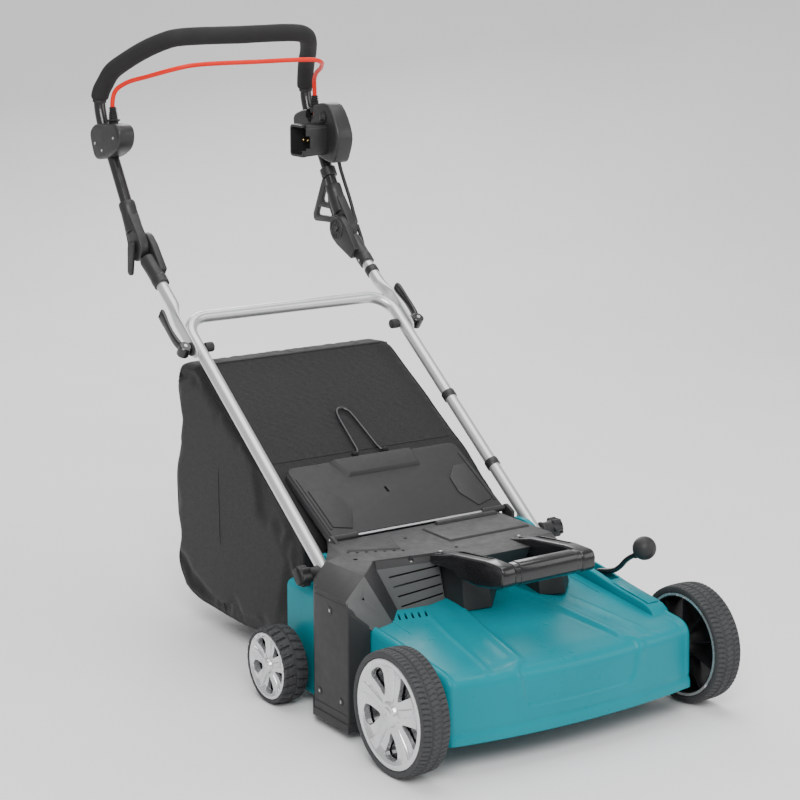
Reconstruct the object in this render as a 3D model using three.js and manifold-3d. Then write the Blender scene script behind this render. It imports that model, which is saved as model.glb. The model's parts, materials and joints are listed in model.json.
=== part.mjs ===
// Electric lawn dethatcher: ribbed plastic deck on four wheels, tine reel driven by a belt,
// rear flap, fabric collector bag and a three-stage folding push handle.
// Millimetres, +Z up, front of the machine towards -Y, +X on its right when seen from the front-left.
import * as THREE from 'three';
import { mergeVertices } from 'three/addons/utils/BufferGeometryUtils.js';
import Module from 'manifold-3d';

const wasm = await Module();
wasm.setup();

// ---------- driving dimensions ----------
const ORIGIN_Y = 520.0;             // distance from the front axle to the middle of the footprint
const FRONT_R = 100, FRONT_W = 50, FRONT_X = 292;
const REAR_R = 65.2, REAR_W = 46, REAR_X = 289, REAR_Y = 376;
const DECK_X = 245, WALL = 4;
const CHAMBER_X = 190;
const CRANK = { y: 60, z: 118 };    // front axle crank pivot
const LEVER = { y: 160, z: 95 };    // height lever pivot
const ROTOR = { y: 205, z: 78 };    // tine reel axis
const MOTOR = { y: 251, z: 212, r: 32.5 };
const HINGE = { y: 374.5, z: 263.7 };  // rear flap hinge
const FLAP_X = 178, FLAP_L = 178, FLAP_DEG = 29;
const PIVOT = { y: 336, z: 224 };   // lower handle pivot
const CAM = { y: 755.6, z: 532.2 }; // quick-release bolt
const ELBOW = { y: 965, z: 687 };   // upper handle angle joint
const BAIL_P = { y: 1068, z: 893 }; // bail pivot
const LEG_X = 219, SIDE_X = 223, TOP_X = 226, TUBE_R = 11, BORE_R = 9.2;
const LEG_DEG = 36.3;
const GAP = 0.3;

const rad = (d) => (d * Math.PI) / 180;
const V = (x, y, z) => new THREE.Vector3(x, y, z);
const group = new THREE.Group();
group.position.set(0, -ORIGIN_Y, 0);

// ---------- helpers ----------
function solid(g) {
  const c = g.clone();
  for (const k of Object.keys(c.attributes)) if (k !== 'position') c.deleteAttribute(k);
  const m = mergeVertices(c, 1e-4);
  return new wasm.Manifold(new wasm.Mesh({
    numProp: 3,
    vertProperties: new Float32Array(m.attributes.position.array),
    triVerts: new Uint32Array(m.index.array),
  }));
}
function geom(s) {
  const m = s.getMesh();
  const g = new THREE.BufferGeometry();
  g.setAttribute('position', new THREE.BufferAttribute(new Float32Array(m.vertProperties), 3));
  g.setIndex(new THREE.BufferAttribute(new Uint32Array(m.triVerts), 1));
  g.computeVertexNormals();
  return g;
}
const PAINT = {
  teal: [0x0a97a6, 0.42, 0.0], black: [0x3a3a3c, 0.62, 0.0], gloss: [0x1c1c1e, 0.25, 0.0],
  tyre: [0x3a3b3c, 0.85, 0.0], rim: [0xc9cbcd, 0.38, 0.6], steel: [0xc4c6c8, 0.3, 0.9],
  tube: [0xd0d2d3, 0.33, 0.85], blacktube: [0x1e1e20, 0.35, 0.2], foam: [0x2b2b2c, 0.9, 0.0],
  red: [0xe8402f, 0.35, 0.1], fabric: [0x1d1d1f, 0.95, 0.0], rubber: [0x222222, 0.7, 0.0],
  brass: [0xb08d3a, 0.35, 0.9], motor: [0x6b7076, 0.45, 0.7],
};
function add(name, shape, paint) {
  const [color, roughness, metalness] = PAINT[paint];
  const mesh = new THREE.Mesh(
    shape.isBufferGeometry ? shape : geom(shape),
    new THREE.MeshStandardMaterial({ color, roughness, metalness }),
  );
  mesh.name = name;
  group.add(mesh);
  return mesh;
}
const box = (x0, x1, y0, y1, z0, z1) =>
  solid(new THREE.BoxGeometry(x1 - x0, y1 - y0, z1 - z0).translate((x0 + x1) / 2, (y0 + y1) / 2, (z0 + z1) / 2));
function cylX(r, x0, x1, y, z, n = 24) {
  const g = new THREE.CylinderGeometry(r, r, x1 - x0, n);
  g.rotateZ(-Math.PI / 2).translate((x0 + x1) / 2, y, z);
  return solid(g);
}
// cylinder between two points
function rod(a, b, r, n = 16, r2 = r) {
  const d = b.clone().sub(a), L = d.length();
  const g = new THREE.CylinderGeometry(r2, r, L, n);
  g.applyQuaternion(new THREE.Quaternion().setFromUnitVectors(V(0, 1, 0), d.normalize()));
  g.translate((a.x + b.x) / 2, (a.y + b.y) / 2, (a.z + b.z) / 2);
  return solid(g);
}
// polygon in Y,Z swept along X
function sweepX(pts, x0, x1) {
  const s = new THREE.Shape(pts.map(([y, z]) => new THREE.Vector2(y, z)));
  const g = new THREE.ExtrudeGeometry(s, { depth: x1 - x0, bevelEnabled: false, steps: 1 });
  g.applyMatrix4(new THREE.Matrix4().set(0, 0, 1, x0, 1, 0, 0, 0, 0, 1, 0, 0, 0, 0, 0, 1));
  return solid(g);
}
// polygon in X,Y swept along Z
function sweepZ(pts, z0, z1) {
  const s = new THREE.Shape(pts.map(([x, y]) => new THREE.Vector2(x, y)));
  const g = new THREE.ExtrudeGeometry(s, { depth: z1 - z0, bevelEnabled: false, steps: 1 });
  g.translate(0, 0, z0);
  return solid(g);
}
// a curve that passes exactly through its knots
class Knots extends THREE.Curve {
  constructor(pts) { super(); this.pts = pts; }
  getPoint(t, out = new THREE.Vector3()) {
    const n = this.pts.length - 1, f = Math.min(Math.max(t, 0), 1) * n, i = Math.min(Math.floor(f), n - 1);
    return out.copy(this.pts[i]).lerp(this.pts[i + 1], f - i);
  }
  getPointAt(u, out) { return this.getPoint(u, out); }
  getTangent(t, out = new THREE.Vector3()) {
    const n = this.pts.length - 1, i = Math.round(t * n);
    const a = this.pts[Math.max(i - 1, 0)], b = this.pts[i], c = this.pts[Math.min(i + 1, n)];
    const p = b.clone().sub(a), q = c.clone().sub(b);
    if (p.lengthSq() > 0) p.normalize();
    if (q.lengthSq() > 0) q.normalize();
    return out.copy(p.add(q).normalize());
  }
  getTangentAt(u, out) { return this.getTangent(u, out); }
  getSpacedPoints() { return this.pts.map((p) => p.clone()); }
}
function circle(r, n) {
  const p = [];
  for (let i = 0; i < n; i++) p.push(new THREE.Vector2(r * Math.cos((2 * Math.PI * i) / n), r * Math.sin((2 * Math.PI * i) / n)));
  return p;
}
function pipe(pts, r, n = 10, hole = 0) {
  const s = new THREE.Shape(circle(r, n));
  if (hole) s.holes.push(new THREE.Path(circle(hole, n).reverse()));
  return solid(new THREE.ExtrudeGeometry(s, { steps: pts.length - 1, extrudePath: new Knots(pts), bevelEnabled: false }));
}
// smooth run of knots through control points
const smooth = (pts, n) => new THREE.CatmullRomCurve3(pts, false, 'centripetal').getPoints(n);
const lathe = (prof, n) => {
  const g = new THREE.LatheGeometry(prof.map(([r, x]) => new THREE.Vector2(r, x)), n);
  return g.rotateZ(-Math.PI / 2);
};
// point on a line in the Y,Z plane
const along = (p, deg, s, off = 0) => ({
  y: p.y + s * Math.cos(rad(deg)) + off * Math.sin(rad(deg)),
  z: p.z + s * Math.sin(rad(deg)) - off * Math.cos(rad(deg)),
});
const at = (x, p) => V(x, p.y, p.z);
// block along a direction in the Y,Z plane: s0..s1 along, w0..w1 across, x0..x1
function slab(p, deg, s0, s1, w0, w1, x0, x1) {
  const q = [along(p, deg, s0, w0), along(p, deg, s1, w0), along(p, deg, s1, w1), along(p, deg, s0, w1)];
  return sweepX(q.reverse().map((k) => [k.y, k.z]), x0, x1);
}

// ---------- deck ----------
const deckTop = [[-60, 158], [-30, 163], [120, 178], [240, 190], [415, 196]];
const plan = (o) => [[-DECK_X + o, 440], [-DECK_X + o, -42], [-237 + o, -62 + o], [-120, -78 + o], [0, -83 + o],
  [120, -78 + o], [237 - o, -62 + o], [DECK_X - o, -42], [DECK_X - o, 440]].reverse();
let deck = sweepX([[-90, 50], [90, 50], [150, 16], [400, 16], [415, 40], ...deckTop.slice().reverse(), [-72, 150], [-90, 120]].reverse(), -DECK_X, DECK_X)
  .intersect(sweepZ(plan(0), 0, 300));
const deckInside = sweepX([[-120, -10], [411, -10], [411, 191.9], [240, 185.9], [120, 173.9], [-30, 158.9], [-60, 153.9], [-68, 148], [-85, 120], [-120, 110]].reverse(), -DECK_X + WALL, DECK_X - WALL)
  .intersect(sweepZ(plan(WALL), -20, 300));
const deckSolid = deck;
deck = deck.subtract(deckInside);
// boss around the height lever slot
deck = deck.add(sweepX([[-5, 158], [8, 171], [30, 176], [110, 186], [190, 200], [236, 202], [246, 186], [120, 172], [10, 158]].reverse(), 209, 244));
// chamber walls and front baffle
for (const x of [-CHAMBER_X - WALL, CHAMBER_X]) deck = deck.add(box(x, x + WALL, 114, 413, 24, 260).intersect(deckSolid));
deck = deck.add(box(-CHAMBER_X - 1, CHAMBER_X + 1, 114, 118, 34, 260).intersect(deckSolid));
// pivot ears for the handle
for (const s of [-1, 1]) {
  deck = deck.add(sweepX([[296, 186], [306, 222], [318, 240], [335, 247], [368, 246], [382, 236], [390, 216], [404, 190]].reverse(),
    s > 0 ? 196 : -207.6, s > 0 ? 207.6 : -196));
  deck = deck.subtract(cylX(5.4, s > 0 ? 190 : -214, s > 0 ? 214 : -190, PIVOT.y, PIVOT.z, 16));
}
// motor well, discharge opening, lever slot, shaft holes
deck = deck.subtract(box(-200, -48, 206, 286, 170, 230));
deck = deck.subtract(box(-170, 170, 400, 430, 78, 182));
deck = deck.subtract(box(218, 238, 122, 232, 150, 230));
deck = deck.subtract(cylX(20.4, -200, 200, ROTOR.y, ROTOR.z, 24));
deck = deck.subtract(cylX(14, -250, -230, ROTOR.y, ROTOR.z, 16));
deck = deck.subtract(cylX(6.9, -250, 250, CRANK.y, CRANK.z, 16));
deck = deck.subtract(cylX(6.7, -250, 250, REAR_Y, REAR_R, 16));
deck = deck.subtract(cylX(4.6, 234, 250, LEVER.y, LEVER.z, 16));
add('deck_shell', deck, 'teal');

// ---------- motor cover ----------
const saddle = [[150, 181.7], [158, 225], [188, 256], [208, 262], [366, 262], [366, 195], [240, 190.4]];
let cover = sweepX(saddle.slice().reverse(), -72, 176)
  .add(sweepX([[196, 186.2], [218, 252], [232, 262], [366, 262], [366, 195], [240, 190.4]].reverse(), -192, -71))
  .add(sweepX([[162, 182.6], [162, 238], [196, 262], [292, 262], [292, 192], [240, 190.4]].reverse(), -245.2, -190))
  .add(sweepX([[158, 232.4], [160, 240], [196, 262], [292, 262], [292, 232.4]].reverse(), -290, -245));
// bevelled left shoulder and right edge
const cutL = new THREE.BoxGeometry(120, 700, 60).translate(0, 0, 30).rotateY(-rad(36)).translate(-272, 240, 247);
cover = cover.subtract(solid(cutL));
const cutR = new THREE.BoxGeometry(120, 700, 60).translate(0, 0, 30).rotateY(rad(50)).translate(176, 240, 240);
cover = cover.subtract(solid(cutR));
// rear corner of the belt tower is chamfered in plan
const towerPlan = (o, top) => [[-290 + o, 154 + o], [-245.3, 154 + o], [-245.3, 300 - o], [-264 + o, 300 - o], [-290 + o, 256 - o * 0.4]];
cover = cover.subtract(sweepZ([[-300, 256], [-290, 256], [-264, 300], [-264, 320], [-300, 320]], 200, 300));
// hinge lugs
for (const s of [-1, 1]) {
  cover = cover.add(box(s > 0 ? 179 : -186, s > 0 ? 186 : -179, 356, 382, 244, 270));
  cover = cover.add(box(s > 0 ? 168 : -186, s > 0 ? 186 : -168, 352, 365.8, 240, 260));
}
// hollow inside
let inner = sweepX([[154, 170], [161.5, 223], [190, 252.5], [209, 258.6], [363, 258.6], [363, 170]].reverse(), -69, 160)
  .add(sweepX([[206, 170], [222, 251], [234, 258.6], [363, 258.6], [363, 170]].reverse(), -189, -68))
  .add(sweepX([[166, 170], [166, 237], [198, 258.6], [288.6, 258.6], [288.6, 170]].reverse(), -242, -188));
const inL = new THREE.BoxGeometry(120, 700, 60).translate(0, 0, 30).rotateY(-rad(36)).translate(-270, 240, 243.6);
const innerTower = sweepX([[161, 220], [164, 238], [198, 258.6], [288.6, 258.6], [288.6, 220]].reverse(), -286.6, -241)
  .subtract(solid(inL)).subtract(sweepZ([[-300, 254.5], [-286.6, 254.5], [-262.4, 297], [-262.4, 320], [-300, 320]], 200, 300));
const inR = new THREE.BoxGeometry(120, 700, 60).translate(0, 0, 30).rotateY(rad(50)).translate(172, 240, 238);
inner = inner.subtract(solid(inL)).subtract(solid(inR)).add(innerTower);
cover = cover.subtract(inner);
cover = cover.subtract(cylX(2.9, -190, 190, HINGE.y, HINGE.z, 16));
// louvre slits in the intake block
for (let i = 0; i < 4; i++) {
  const z = 196 + i * 13;
  cover = cover.subtract(box(-176, -88, 180, 226, z, z + 3));
}
cover = cover.subtract(deckSolid.translate([0, 0, 0.35]));
cover = cover.subtract(cylX(18, -250, -238, MOTOR.y, MOTOR.z, 20));
add('motor_cover', cover, 'black');

// ---------- belt tower cover ----------
const rev = (p) => p;
let side = sweepZ(rev(towerPlan(0)), 14, 232).add(sweepZ([[-293, 151], [-245.3, 151], [-245.3, 303], [-265, 303], [-293, 257]], 14, 28));
side = side.subtract(sweepZ([[-287, 157], [-240, 157], [-240, 297], [-262.4, 297], [-287, 255]], 17, 260));
add('belt_cover', side, 'black');

// ---------- carry handle ----------
const railPoly = [[12, 262], [9, 270], [10, 286], [16, 291], [60, 291], [150, 279], [206, 264], [206, 236], [120, 236], [50, 252]].reverse();
let carry = sweepX(railPoly, -93, -66).add(sweepX(railPoly, 66, 93));
carry = carry.add(box(-67, 67, 16, 34, 267.5, 285.5));
carry = carry.subtract(sweepX([[149.6, 181], [157.6, 225.3], [187.7, 256.5], [207.8, 262.5], [300, 262.5], [300, 181]].reverse(), -110, 110));
add('carry_handle', carry, 'gloss');
add('carry_grip', sweepX([[14, 260.5], [10, 266], [10, 287], [15, 291.5], [35, 291.5], [40, 287], [40, 266], [36, 260.5]].reverse(), -60, 60)
  .subtract(box(-70, 70, 15.6, 34.4, 267.1, 285.9)), 'gloss');

// ---------- motor, belt drive and tine reel ----------
let motor = cylX(MOTOR.r, -188, -60, MOTOR.y, MOTOR.z, 20).subtract(cylX(MOTOR.r - 2.5, -185, -63, MOTOR.y, MOTOR.z, 20));
motor = motor.add(cylX(12, -194, -184, MOTOR.y, MOTOR.z, 16));
motor = motor.subtract(cylX(5.4, -200, -80, MOTOR.y, MOTOR.z, 16));
for (let i = 0; i < 4; i++) {
  const a = (i * Math.PI) / 2 + 0.3, y = MOTOR.y + 24 * Math.cos(a), z = MOTOR.z + 24 * Math.sin(a);
  motor = motor.subtract(cylX(4, -70, -50, y, z, 10));
}
add('motor_housing', motor, 'motor');
const pulley = (r, hub, x0, x1, p, n) => solid(lathe([[hub, 0], [r, 0], [r, 2], [r - 2.6, 4], [r - 2.6, x1 - x0 - 4], [r, x1 - x0 - 2], [r, x1 - x0], [hub, x1 - x0], [hub, 0]].map(([a, b]) => [a, b]), n).translate(x0, p.y, p.z));
// armature, shaft and pressed-on pulley turn as one piece
add('motor_armature', cylX(5, -281, -70, MOTOR.y, MOTOR.z, 12).add(cylX(24, -176, -84, MOTOR.y, MOTOR.z, 16)).add(pulley(15, 4, -278, -263, MOTOR, 16)), 'steel');
add('reel_pulley', pulley(34, 10.5, -278, -263, ROTOR, 22), 'steel');
// belt as a closed loop round both pulleys
function loop(r1, r2, n) {
  const d = Math.hypot(MOTOR.y - ROTOR.y, MOTOR.z - ROTOR.z), th = Math.atan2(MOTOR.z - ROTOR.z, MOTOR.y - ROTOR.y);
  const b = Math.acos((r1 - r2) / d), out = [];
  for (let i = 0; i <= n; i++) { const a = th + b + ((2 * Math.PI - 2 * b) * i) / n; out.push([ROTOR.y + r1 * Math.cos(a), ROTOR.z + r1 * Math.sin(a)]); }
  for (let i = 0; i <= n; i++) { const a = th - b + (2 * b * i) / n; out.push([MOTOR.y + r2 * Math.cos(a), MOTOR.z + r2 * Math.sin(a)]); }
  return out;
}
add('drive_belt', sweepX(loop(36.2, 17.2, 12), -273.4, -267.6).subtract(sweepX(loop(32.4, 13.4, 12), -275, -266)), 'rubber');
add('reel_shaft', cylX(10, -281, 203, ROTOR.y, ROTOR.z, 16), 'steel');
let reel = cylX(19, -176, 176, ROTOR.y, ROTOR.z, 16);
for (let i = 0; i < 14; i++) {
  const x = -163 + i * 25, a = i * 77;
  for (const o of [0, 180]) {
    const t = new THREE.ExtrudeGeometry(new THREE.Shape([[-7, 12], [7, 12], [6, 50], [14, 69], [8, 70], [-4, 52]].map(([u, v]) => new THREE.Vector2(u, v))), { depth: 3, bevelEnabled: false });
    t.applyMatrix4(new THREE.Matrix4().set(0, 0, 1, 0, 1, 0, 0, 0, 0, 1, 0, 0, 0, 0, 0, 1)).rotateX(rad(a + o)).translate(x, ROTOR.y, ROTOR.z);
    reel = reel.add(solid(t));
  }
}
reel = reel.subtract(cylX(10.5, -190, 190, ROTOR.y, ROTOR.z, 16));
add('tine_reel', reel, 'steel');
for (const s of [-1, 1]) {
  const x0 = s > 0 ? 184 : -199, x1 = s > 0 ? 199 : -184;
  add(s > 0 ? 'reel_bearing_right' : 'reel_bearing_left', cylX(20, x0, x1, ROTOR.y, ROTOR.z, 20).subtract(cylX(10.5, x0 - 1, x1 + 1, ROTOR.y, ROTOR.z, 16)), 'steel');
}

// ---------- axles, height adjustment ----------
let crank = cylX(6, -262, 262, CRANK.y, CRANK.z, 14);
for (const s of [-1, 1]) {
  const x0 = s > 0 ? 252 : -262, x1 = s > 0 ? 262 : -252;
  const d = Math.hypot(CRANK.y, CRANK.z - FRONT_R), deg = (Math.atan2(CRANK.z - FRONT_R, CRANK.y) * 180) / Math.PI;
  crank = crank.add(slab({ y: 0, z: FRONT_R }, deg, -9, d + 9, -9, 9, x0, x1));
  crank = crank.add(cylX(6, s > 0 ? 254 : -319, s > 0 ? 319 : -254, 0, FRONT_R, 14));
}
crank = crank.add(slab({ y: CRANK.y, z: CRANK.z - 60 }, 90, -8, 66, -7, 7, 214, 218));
crank = crank.subtract(cylX(4.6, 210, 222, CRANK.y, CRANK.z - 60, 12));
add('front_axle', crank, 'steel');
add('depth_link', slab({ y: CRANK.y, z: CRANK.z - 60 }, (Math.atan2(65 - 58, 100) * 180) / Math.PI, -8, 108.2, -7, 7, 219, 223)
  .add(cylX(4, 211, 222, CRANK.y, CRANK.z - 60, 12))
  .add(cylX(4, 221, 230, LEVER.y, LEVER.z - 30, 12)), 'steel');
let lever = slab(LEVER, 90, -38, 8, -7, 7, 224, 229)
  .subtract(cylX(4.6, 222, 231, LEVER.y, LEVER.z - 30, 12));
lever = lever.add(cylX(4, 226, 249, LEVER.y, LEVER.z, 12));
lever = lever.add(pipe([V(227, 160, 97), V(227, 172, 130), V(228, 182, 165), V(229, 181, 181), V(230, 172, 190), V(230, 150, 196), V(230, 128, 203), V(230, 112, 214), V(230, 98, 228), V(230, 84, 238), V(230, 68, 246), V(230, 60, 250)], 4.5, 8));
add('height_lever', lever, 'blacktube');
const ballC = V(230, 51, 261);
const ball = solid(new THREE.SphereGeometry(20, 14, 9).translate(ballC.x, ballC.y, ballC.z))
  .subtract(rod(V(230, 60, 250).add(V(0, 12, -9)), V(230, 58.5, 252.5), 5.2, 10));
add('lever_ball', ball.subtract(pipe([V(230, 84, 238), V(230, 68, 246), V(230, 59.4, 250.6)], 4.9, 8)), 'black');
add('rear_axle', cylX(6, -314, 314, REAR_Y, REAR_R, 14), 'steel');

// ---------- wheels ----------
function wheel(tag, x, y, z, R, W, flip) {
  const h = W / 2, ri = R * 0.876;
  add(`tyre_${tag}`, solid(lathe([[ri, -h], [R - 4, -h], [R, -h + 6], [R, h - 6], [R - 4, h], [ri, h], [ri, -h]], 28).translate(x, y, z)), 'tyre');
  let rim = solid(lathe([[ri - 7, -h + 1], [ri - 0.35, -h + 1], [ri - 0.35, h - 1], [ri - 7, h - 1], [ri - 7, -h + 1]], 28));
  rim = rim.add(solid(lathe([[6.4, -h + 1], [0.24 * R, -h + 1], [0.24 * R, h - 1], [6.4, h - 1], [6.4, -h + 1]], 14)));
  for (let i = 0; i < 5; i++) {
    const sp = new THREE.BoxGeometry(10, R * 0.2, ri - 0.2 * R - 3).translate(flip * (h - 9), 0, (ri + 0.2 * R - 3) / 2).rotateX((i * 2 * Math.PI) / 5);
    rim = rim.add(solid(sp));
  }
  add(`rim_${tag}`, rim.subtract(cylX(6.5, -h - 2, h + 2, 0, 0, 14)).translate([x, y, z]), 'rim');
}
wheel('front_left', -FRONT_X, 0, FRONT_R, FRONT_R, FRONT_W, -1);
wheel('front_right', FRONT_X, 0, FRONT_R, FRONT_R, FRONT_W, 1);
wheel('rear_left', -REAR_X, REAR_Y, REAR_R, REAR_R, REAR_W, -1);
wheel('rear_right', REAR_X, REAR_Y, REAR_R, REAR_R, REAR_W, 1);

// ---------- rear flap ----------
{
  const outline = new THREE.Shape();
  outline.moveTo(-FLAP_X, 0).lineTo(FLAP_X, 0).lineTo(FLAP_X, FLAP_L - 26);
  outline.absarc(FLAP_X - 26, FLAP_L - 26, 26, 0, Math.PI / 2, false);
  outline.lineTo(-FLAP_X + 26, FLAP_L);
  outline.absarc(-FLAP_X + 26, FLAP_L - 26, 26, Math.PI / 2, Math.PI, false);
  const g = new THREE.ExtrudeGeometry(outline, { depth: 5, bevelEnabled: false, curveSegments: 6 });
  g.translate(0, 0, -2.5).rotateX(rad(FLAP_DEG)).translate(0, HINGE.y, HINGE.z);
  let flap = solid(g);
  flap = flap.add(slab(HINGE, FLAP_DEG, FLAP_L - 44, FLAP_L - 1, -8, -2, -72, 78));
  for (const s of [-1, 1]) flap = flap.add(cylX(5.6, s > 0 ? 130 : -178, s > 0 ? 178 : -130, HINGE.y, HINGE.z, 16));
  flap = flap.subtract(cylX(3, -190, 190, HINGE.y, HINGE.z, 16));
  flap = flap.subtract(box(-129.6, 129.6, HINGE.y - 10, HINGE.y + 5.5, HINGE.z - 8, HINGE.z + 8));
  add('rear_flap', flap, 'black');
}
add('flap_hinge_rod', cylX(2.5, -185.6, 185.6, HINGE.y, HINGE.z, 12), 'steel');

// ---------- collector bag ----------
const bagOut = [[420, 66], [520, 48], [615, 40], [798, 46], [850, 66], [874, 101], [872, 300], [865, 470], [852, 488], [787, 494], [530, 337.5], [430, 262], [420, 250]];
const bagIn = [[424, 71], [520, 53], [615, 45], [797, 51], [846, 70], [869, 103], [867, 300], [860, 468], [850, 483], [789, 489], [532, 332.8], [434, 259], [424, 248]];
let bag = sweepX(bagOut.slice(), -212, 212).subtract(sweepX(bagIn.slice(), -208, 208));
bag = bag.subtract(box(-165, 165, 410, 440, 84, 236));
add('collector_bag', bag, 'fabric');
{
  const bp = (x, s) => { const y = 548 + s * 0.8545, z = 348.5 + s * 0.5195; return V(x, y - 0.5195 * 5, z + 0.8545 * 5); };
  add('bag_handle', pipe([bp(-30, 2), bp(-19, 3), bp(-15, 8), bp(-10, 60), bp(-7, 95), bp(-4, 108), bp(2, 116), bp(8, 118), bp(14, 116), bp(20, 108), bp(23, 95), bp(26, 60), bp(31, 8), bp(35, 3), bp(46, 2)], 2.5, 8), 'blacktube');
}

// ---------- lower handle ----------
const bendR = 46;
{
  const pts = [];
  const bar = along(PIVOT, LEG_DEG, 594.5);
  const s1 = 594.5 - bendR;
  pts.push(at(-LEG_X, along(PIVOT, LEG_DEG, -14)), at(-LEG_X, along(PIVOT, LEG_DEG, 20)), at(-LEG_X, along(PIVOT, LEG_DEG, 300)), at(-LEG_X, along(PIVOT, LEG_DEG, s1 - 8)));
  for (let i = 0; i <= 4; i++) { const a = (i * Math.PI) / 8; pts.push(at(-LEG_X + bendR * (1 - Math.cos(a)), along(PIVOT, LEG_DEG, s1 + bendR * Math.sin(a)))); }
  pts.push(V(0, bar.y, bar.z));
  const mirrored = pts.slice(0, -1).reverse().map((p) => V(-p.x, p.y, p.z));
  let u = pipe([...pts, ...mirrored], TUBE_R, 10, BORE_R);
  for (const s of [-1, 1]) {
    u = u.subtract(cylX(5.4, s > 0 ? 200 : -240, s > 0 ? 240 : -200, PIVOT.y, PIVOT.z, 10));
    u = u.subtract(cylX(4.8, s > 0 ? 200 : -240, s > 0 ? 240 : -200, CAM.y, CAM.z, 10));
  }
  add('lower_handle', u, 'tube');
}
for (const s of [-1, 1]) {
  const X = (a, b) => (s > 0 ? [a, b] : [-b, -a]);
  const tag = s > 0 ? 'right' : 'left';
  // star knob with its bolt
  let k = cylX(17, ...X(240, 268), PIVOT.y, PIVOT.z, 20).add(cylX(11, ...X(231, 241), PIVOT.y, PIVOT.z, 16)).add(cylX(4.6, ...X(193, 233), PIVOT.y, PIVOT.z, 12));
  k = k.add(box(...X(262, 276), PIVOT.y - 15, PIVOT.y + 15, PIVOT.z - 5, PIVOT.z + 5));
  add(`pivot_knob_${tag}`, k, 'black');
  // side tube: round tube that ends in a flat tongue outside the lower handle
  let t = pipe([at(s * SIDE_X, along(CAM, LEG_DEG, 78)), at(s * SIDE_X, along(CAM, LEG_DEG, 215))], TUBE_R, 12, BORE_R);
  t = t.add(slab(CAM, LEG_DEG, -18, 112, -12, 12, ...X(230.4, 234)));
  t = t.subtract(cylX(4.7, ...X(226, 240), CAM.y, CAM.z, 14));
  add(`side_tube_${tag}`, t, 'tube');
  add(`cam_bolt_${tag}`, cylX(4, ...X(196, 237.6), CAM.y, CAM.z, 12).add(cylX(9, ...X(191, 207.4), CAM.y, CAM.z, 12)), 'black');
  // cam lever
  const n = V(0, -Math.sin(rad(LEG_DEG)), Math.cos(rad(LEG_DEG)));
  const c = V(s * 250, CAM.y, CAM.z);
  let cl = rod(c.clone().addScaledVector(n, -11), c.clone().addScaledVector(n, 11), 11.4, 18);
  cl = cl.add(slab(CAM, LEG_DEG, 4, 92, -8, 8, ...X(251.5, 260.5)));
  const e = along(CAM, LEG_DEG, 88);
  cl = cl.add(rod(V(s * 254, e.y, e.z).addScaledVector(n, -9), V(s * 254, e.y, e.z).addScaledVector(n, 9), 9, 14));
  add(`cam_lever_${tag}`, cl, 'gloss');
  // angle joint, lower half
  const LD = 36.3;
  let jl = rod(at(s * SIDE_X, along(ELBOW, LD, -100)), at(s * SIDE_X, along(ELBOW, LD, -33)), 14.5, 16, 16);
  jl = jl.add(slab(ELBOW, LD, -62, 0, -20, 20, ...X(203, 217))).add(cylX(27, ...X(203, 217), ELBOW.y, ELBOW.z, 24));
  jl = jl.add(cylX(6, ...X(200, 204), ELBOW.y, ELBOW.z, 12));
  jl = jl.subtract(pipe([at(s * SIDE_X, along(CAM, LEG_DEG, 100)), at(s * SIDE_X, along(CAM, LEG_DEG, 215.5))], TUBE_R + 0.35, 12));
  add(`joint_lower_${tag}`, jl, 'black');
}

// ---------- upper handle ----------
const UD = 58;
function topPath(x0) {
  const half = [V(TOP_X, 987, 722), V(TOP_X, 1010, 759), V(TOP_X, 1064, 845), V(TOP_X, 1096, 892), V(TOP_X, 1110, 925), V(TOP_X, 1113, 948), V(224, 1110, 963), V(219, 1101, 980), V(212, 1086, 1001),
    V(195, 1051, 1025), V(172, 1013, 1048), V(152, 990, 1060), V(130, 981, 1066)];
  const L = half.map((p) => V(-p.x, p.y, p.z));
  return [...L, V(0, 981, 1067), ...half.slice().reverse()];
}
const topPts = topPath();
add('upper_handle', pipe(topPts, TUBE_R, 10, BORE_R), 'blacktube');
const gripPts = topPts.slice(5, -5);
add('foam_grip', pipe(gripPts, 16.5, 12).subtract(pipe([gripPts[0].clone().add(V(0, 0.4, -6)), ...gripPts, gripPts[gripPts.length - 1].clone().add(V(0, 0.4, -6))], TUBE_R + 0.9, 12)), 'foam');
const tubeCut = (s, i0, i1) => pipe((s < 0 ? topPts : topPts.slice().reverse()).slice(i0, i1), TUBE_R + 0.4, 12);
for (const s of [-1, 1]) {
  const X = (a, b) => (s > 0 ? [a, b] : [-b, -a]);
  const tag = s > 0 ? 'right' : 'left';
  let ju = rod(at(s * TOP_X, along(ELBOW, UD, 33)), at(s * TOP_X, along(ELBOW, UD, 92)), 15.5, 16, 14.5);
  ju = ju.add(slab(ELBOW, UD, 0, 60, -17, 17, ...X(217.4, 237))).add(cylX(25, ...X(217.4, 237), ELBOW.y, ELBOW.z, 24));
  ju = ju.subtract(tubeCut(s, 0, 3));
  add(`joint_upper_${tag}`, ju, 'black');
  let jr = slab(ELBOW, 276, -12, 50, -9, 9, ...X(240, 246)).add(cylX(5, ...X(237.4, 241), 966.5, 682, 14));
  add(`joint_release_${tag}`, jr, 'black');
}
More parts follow.
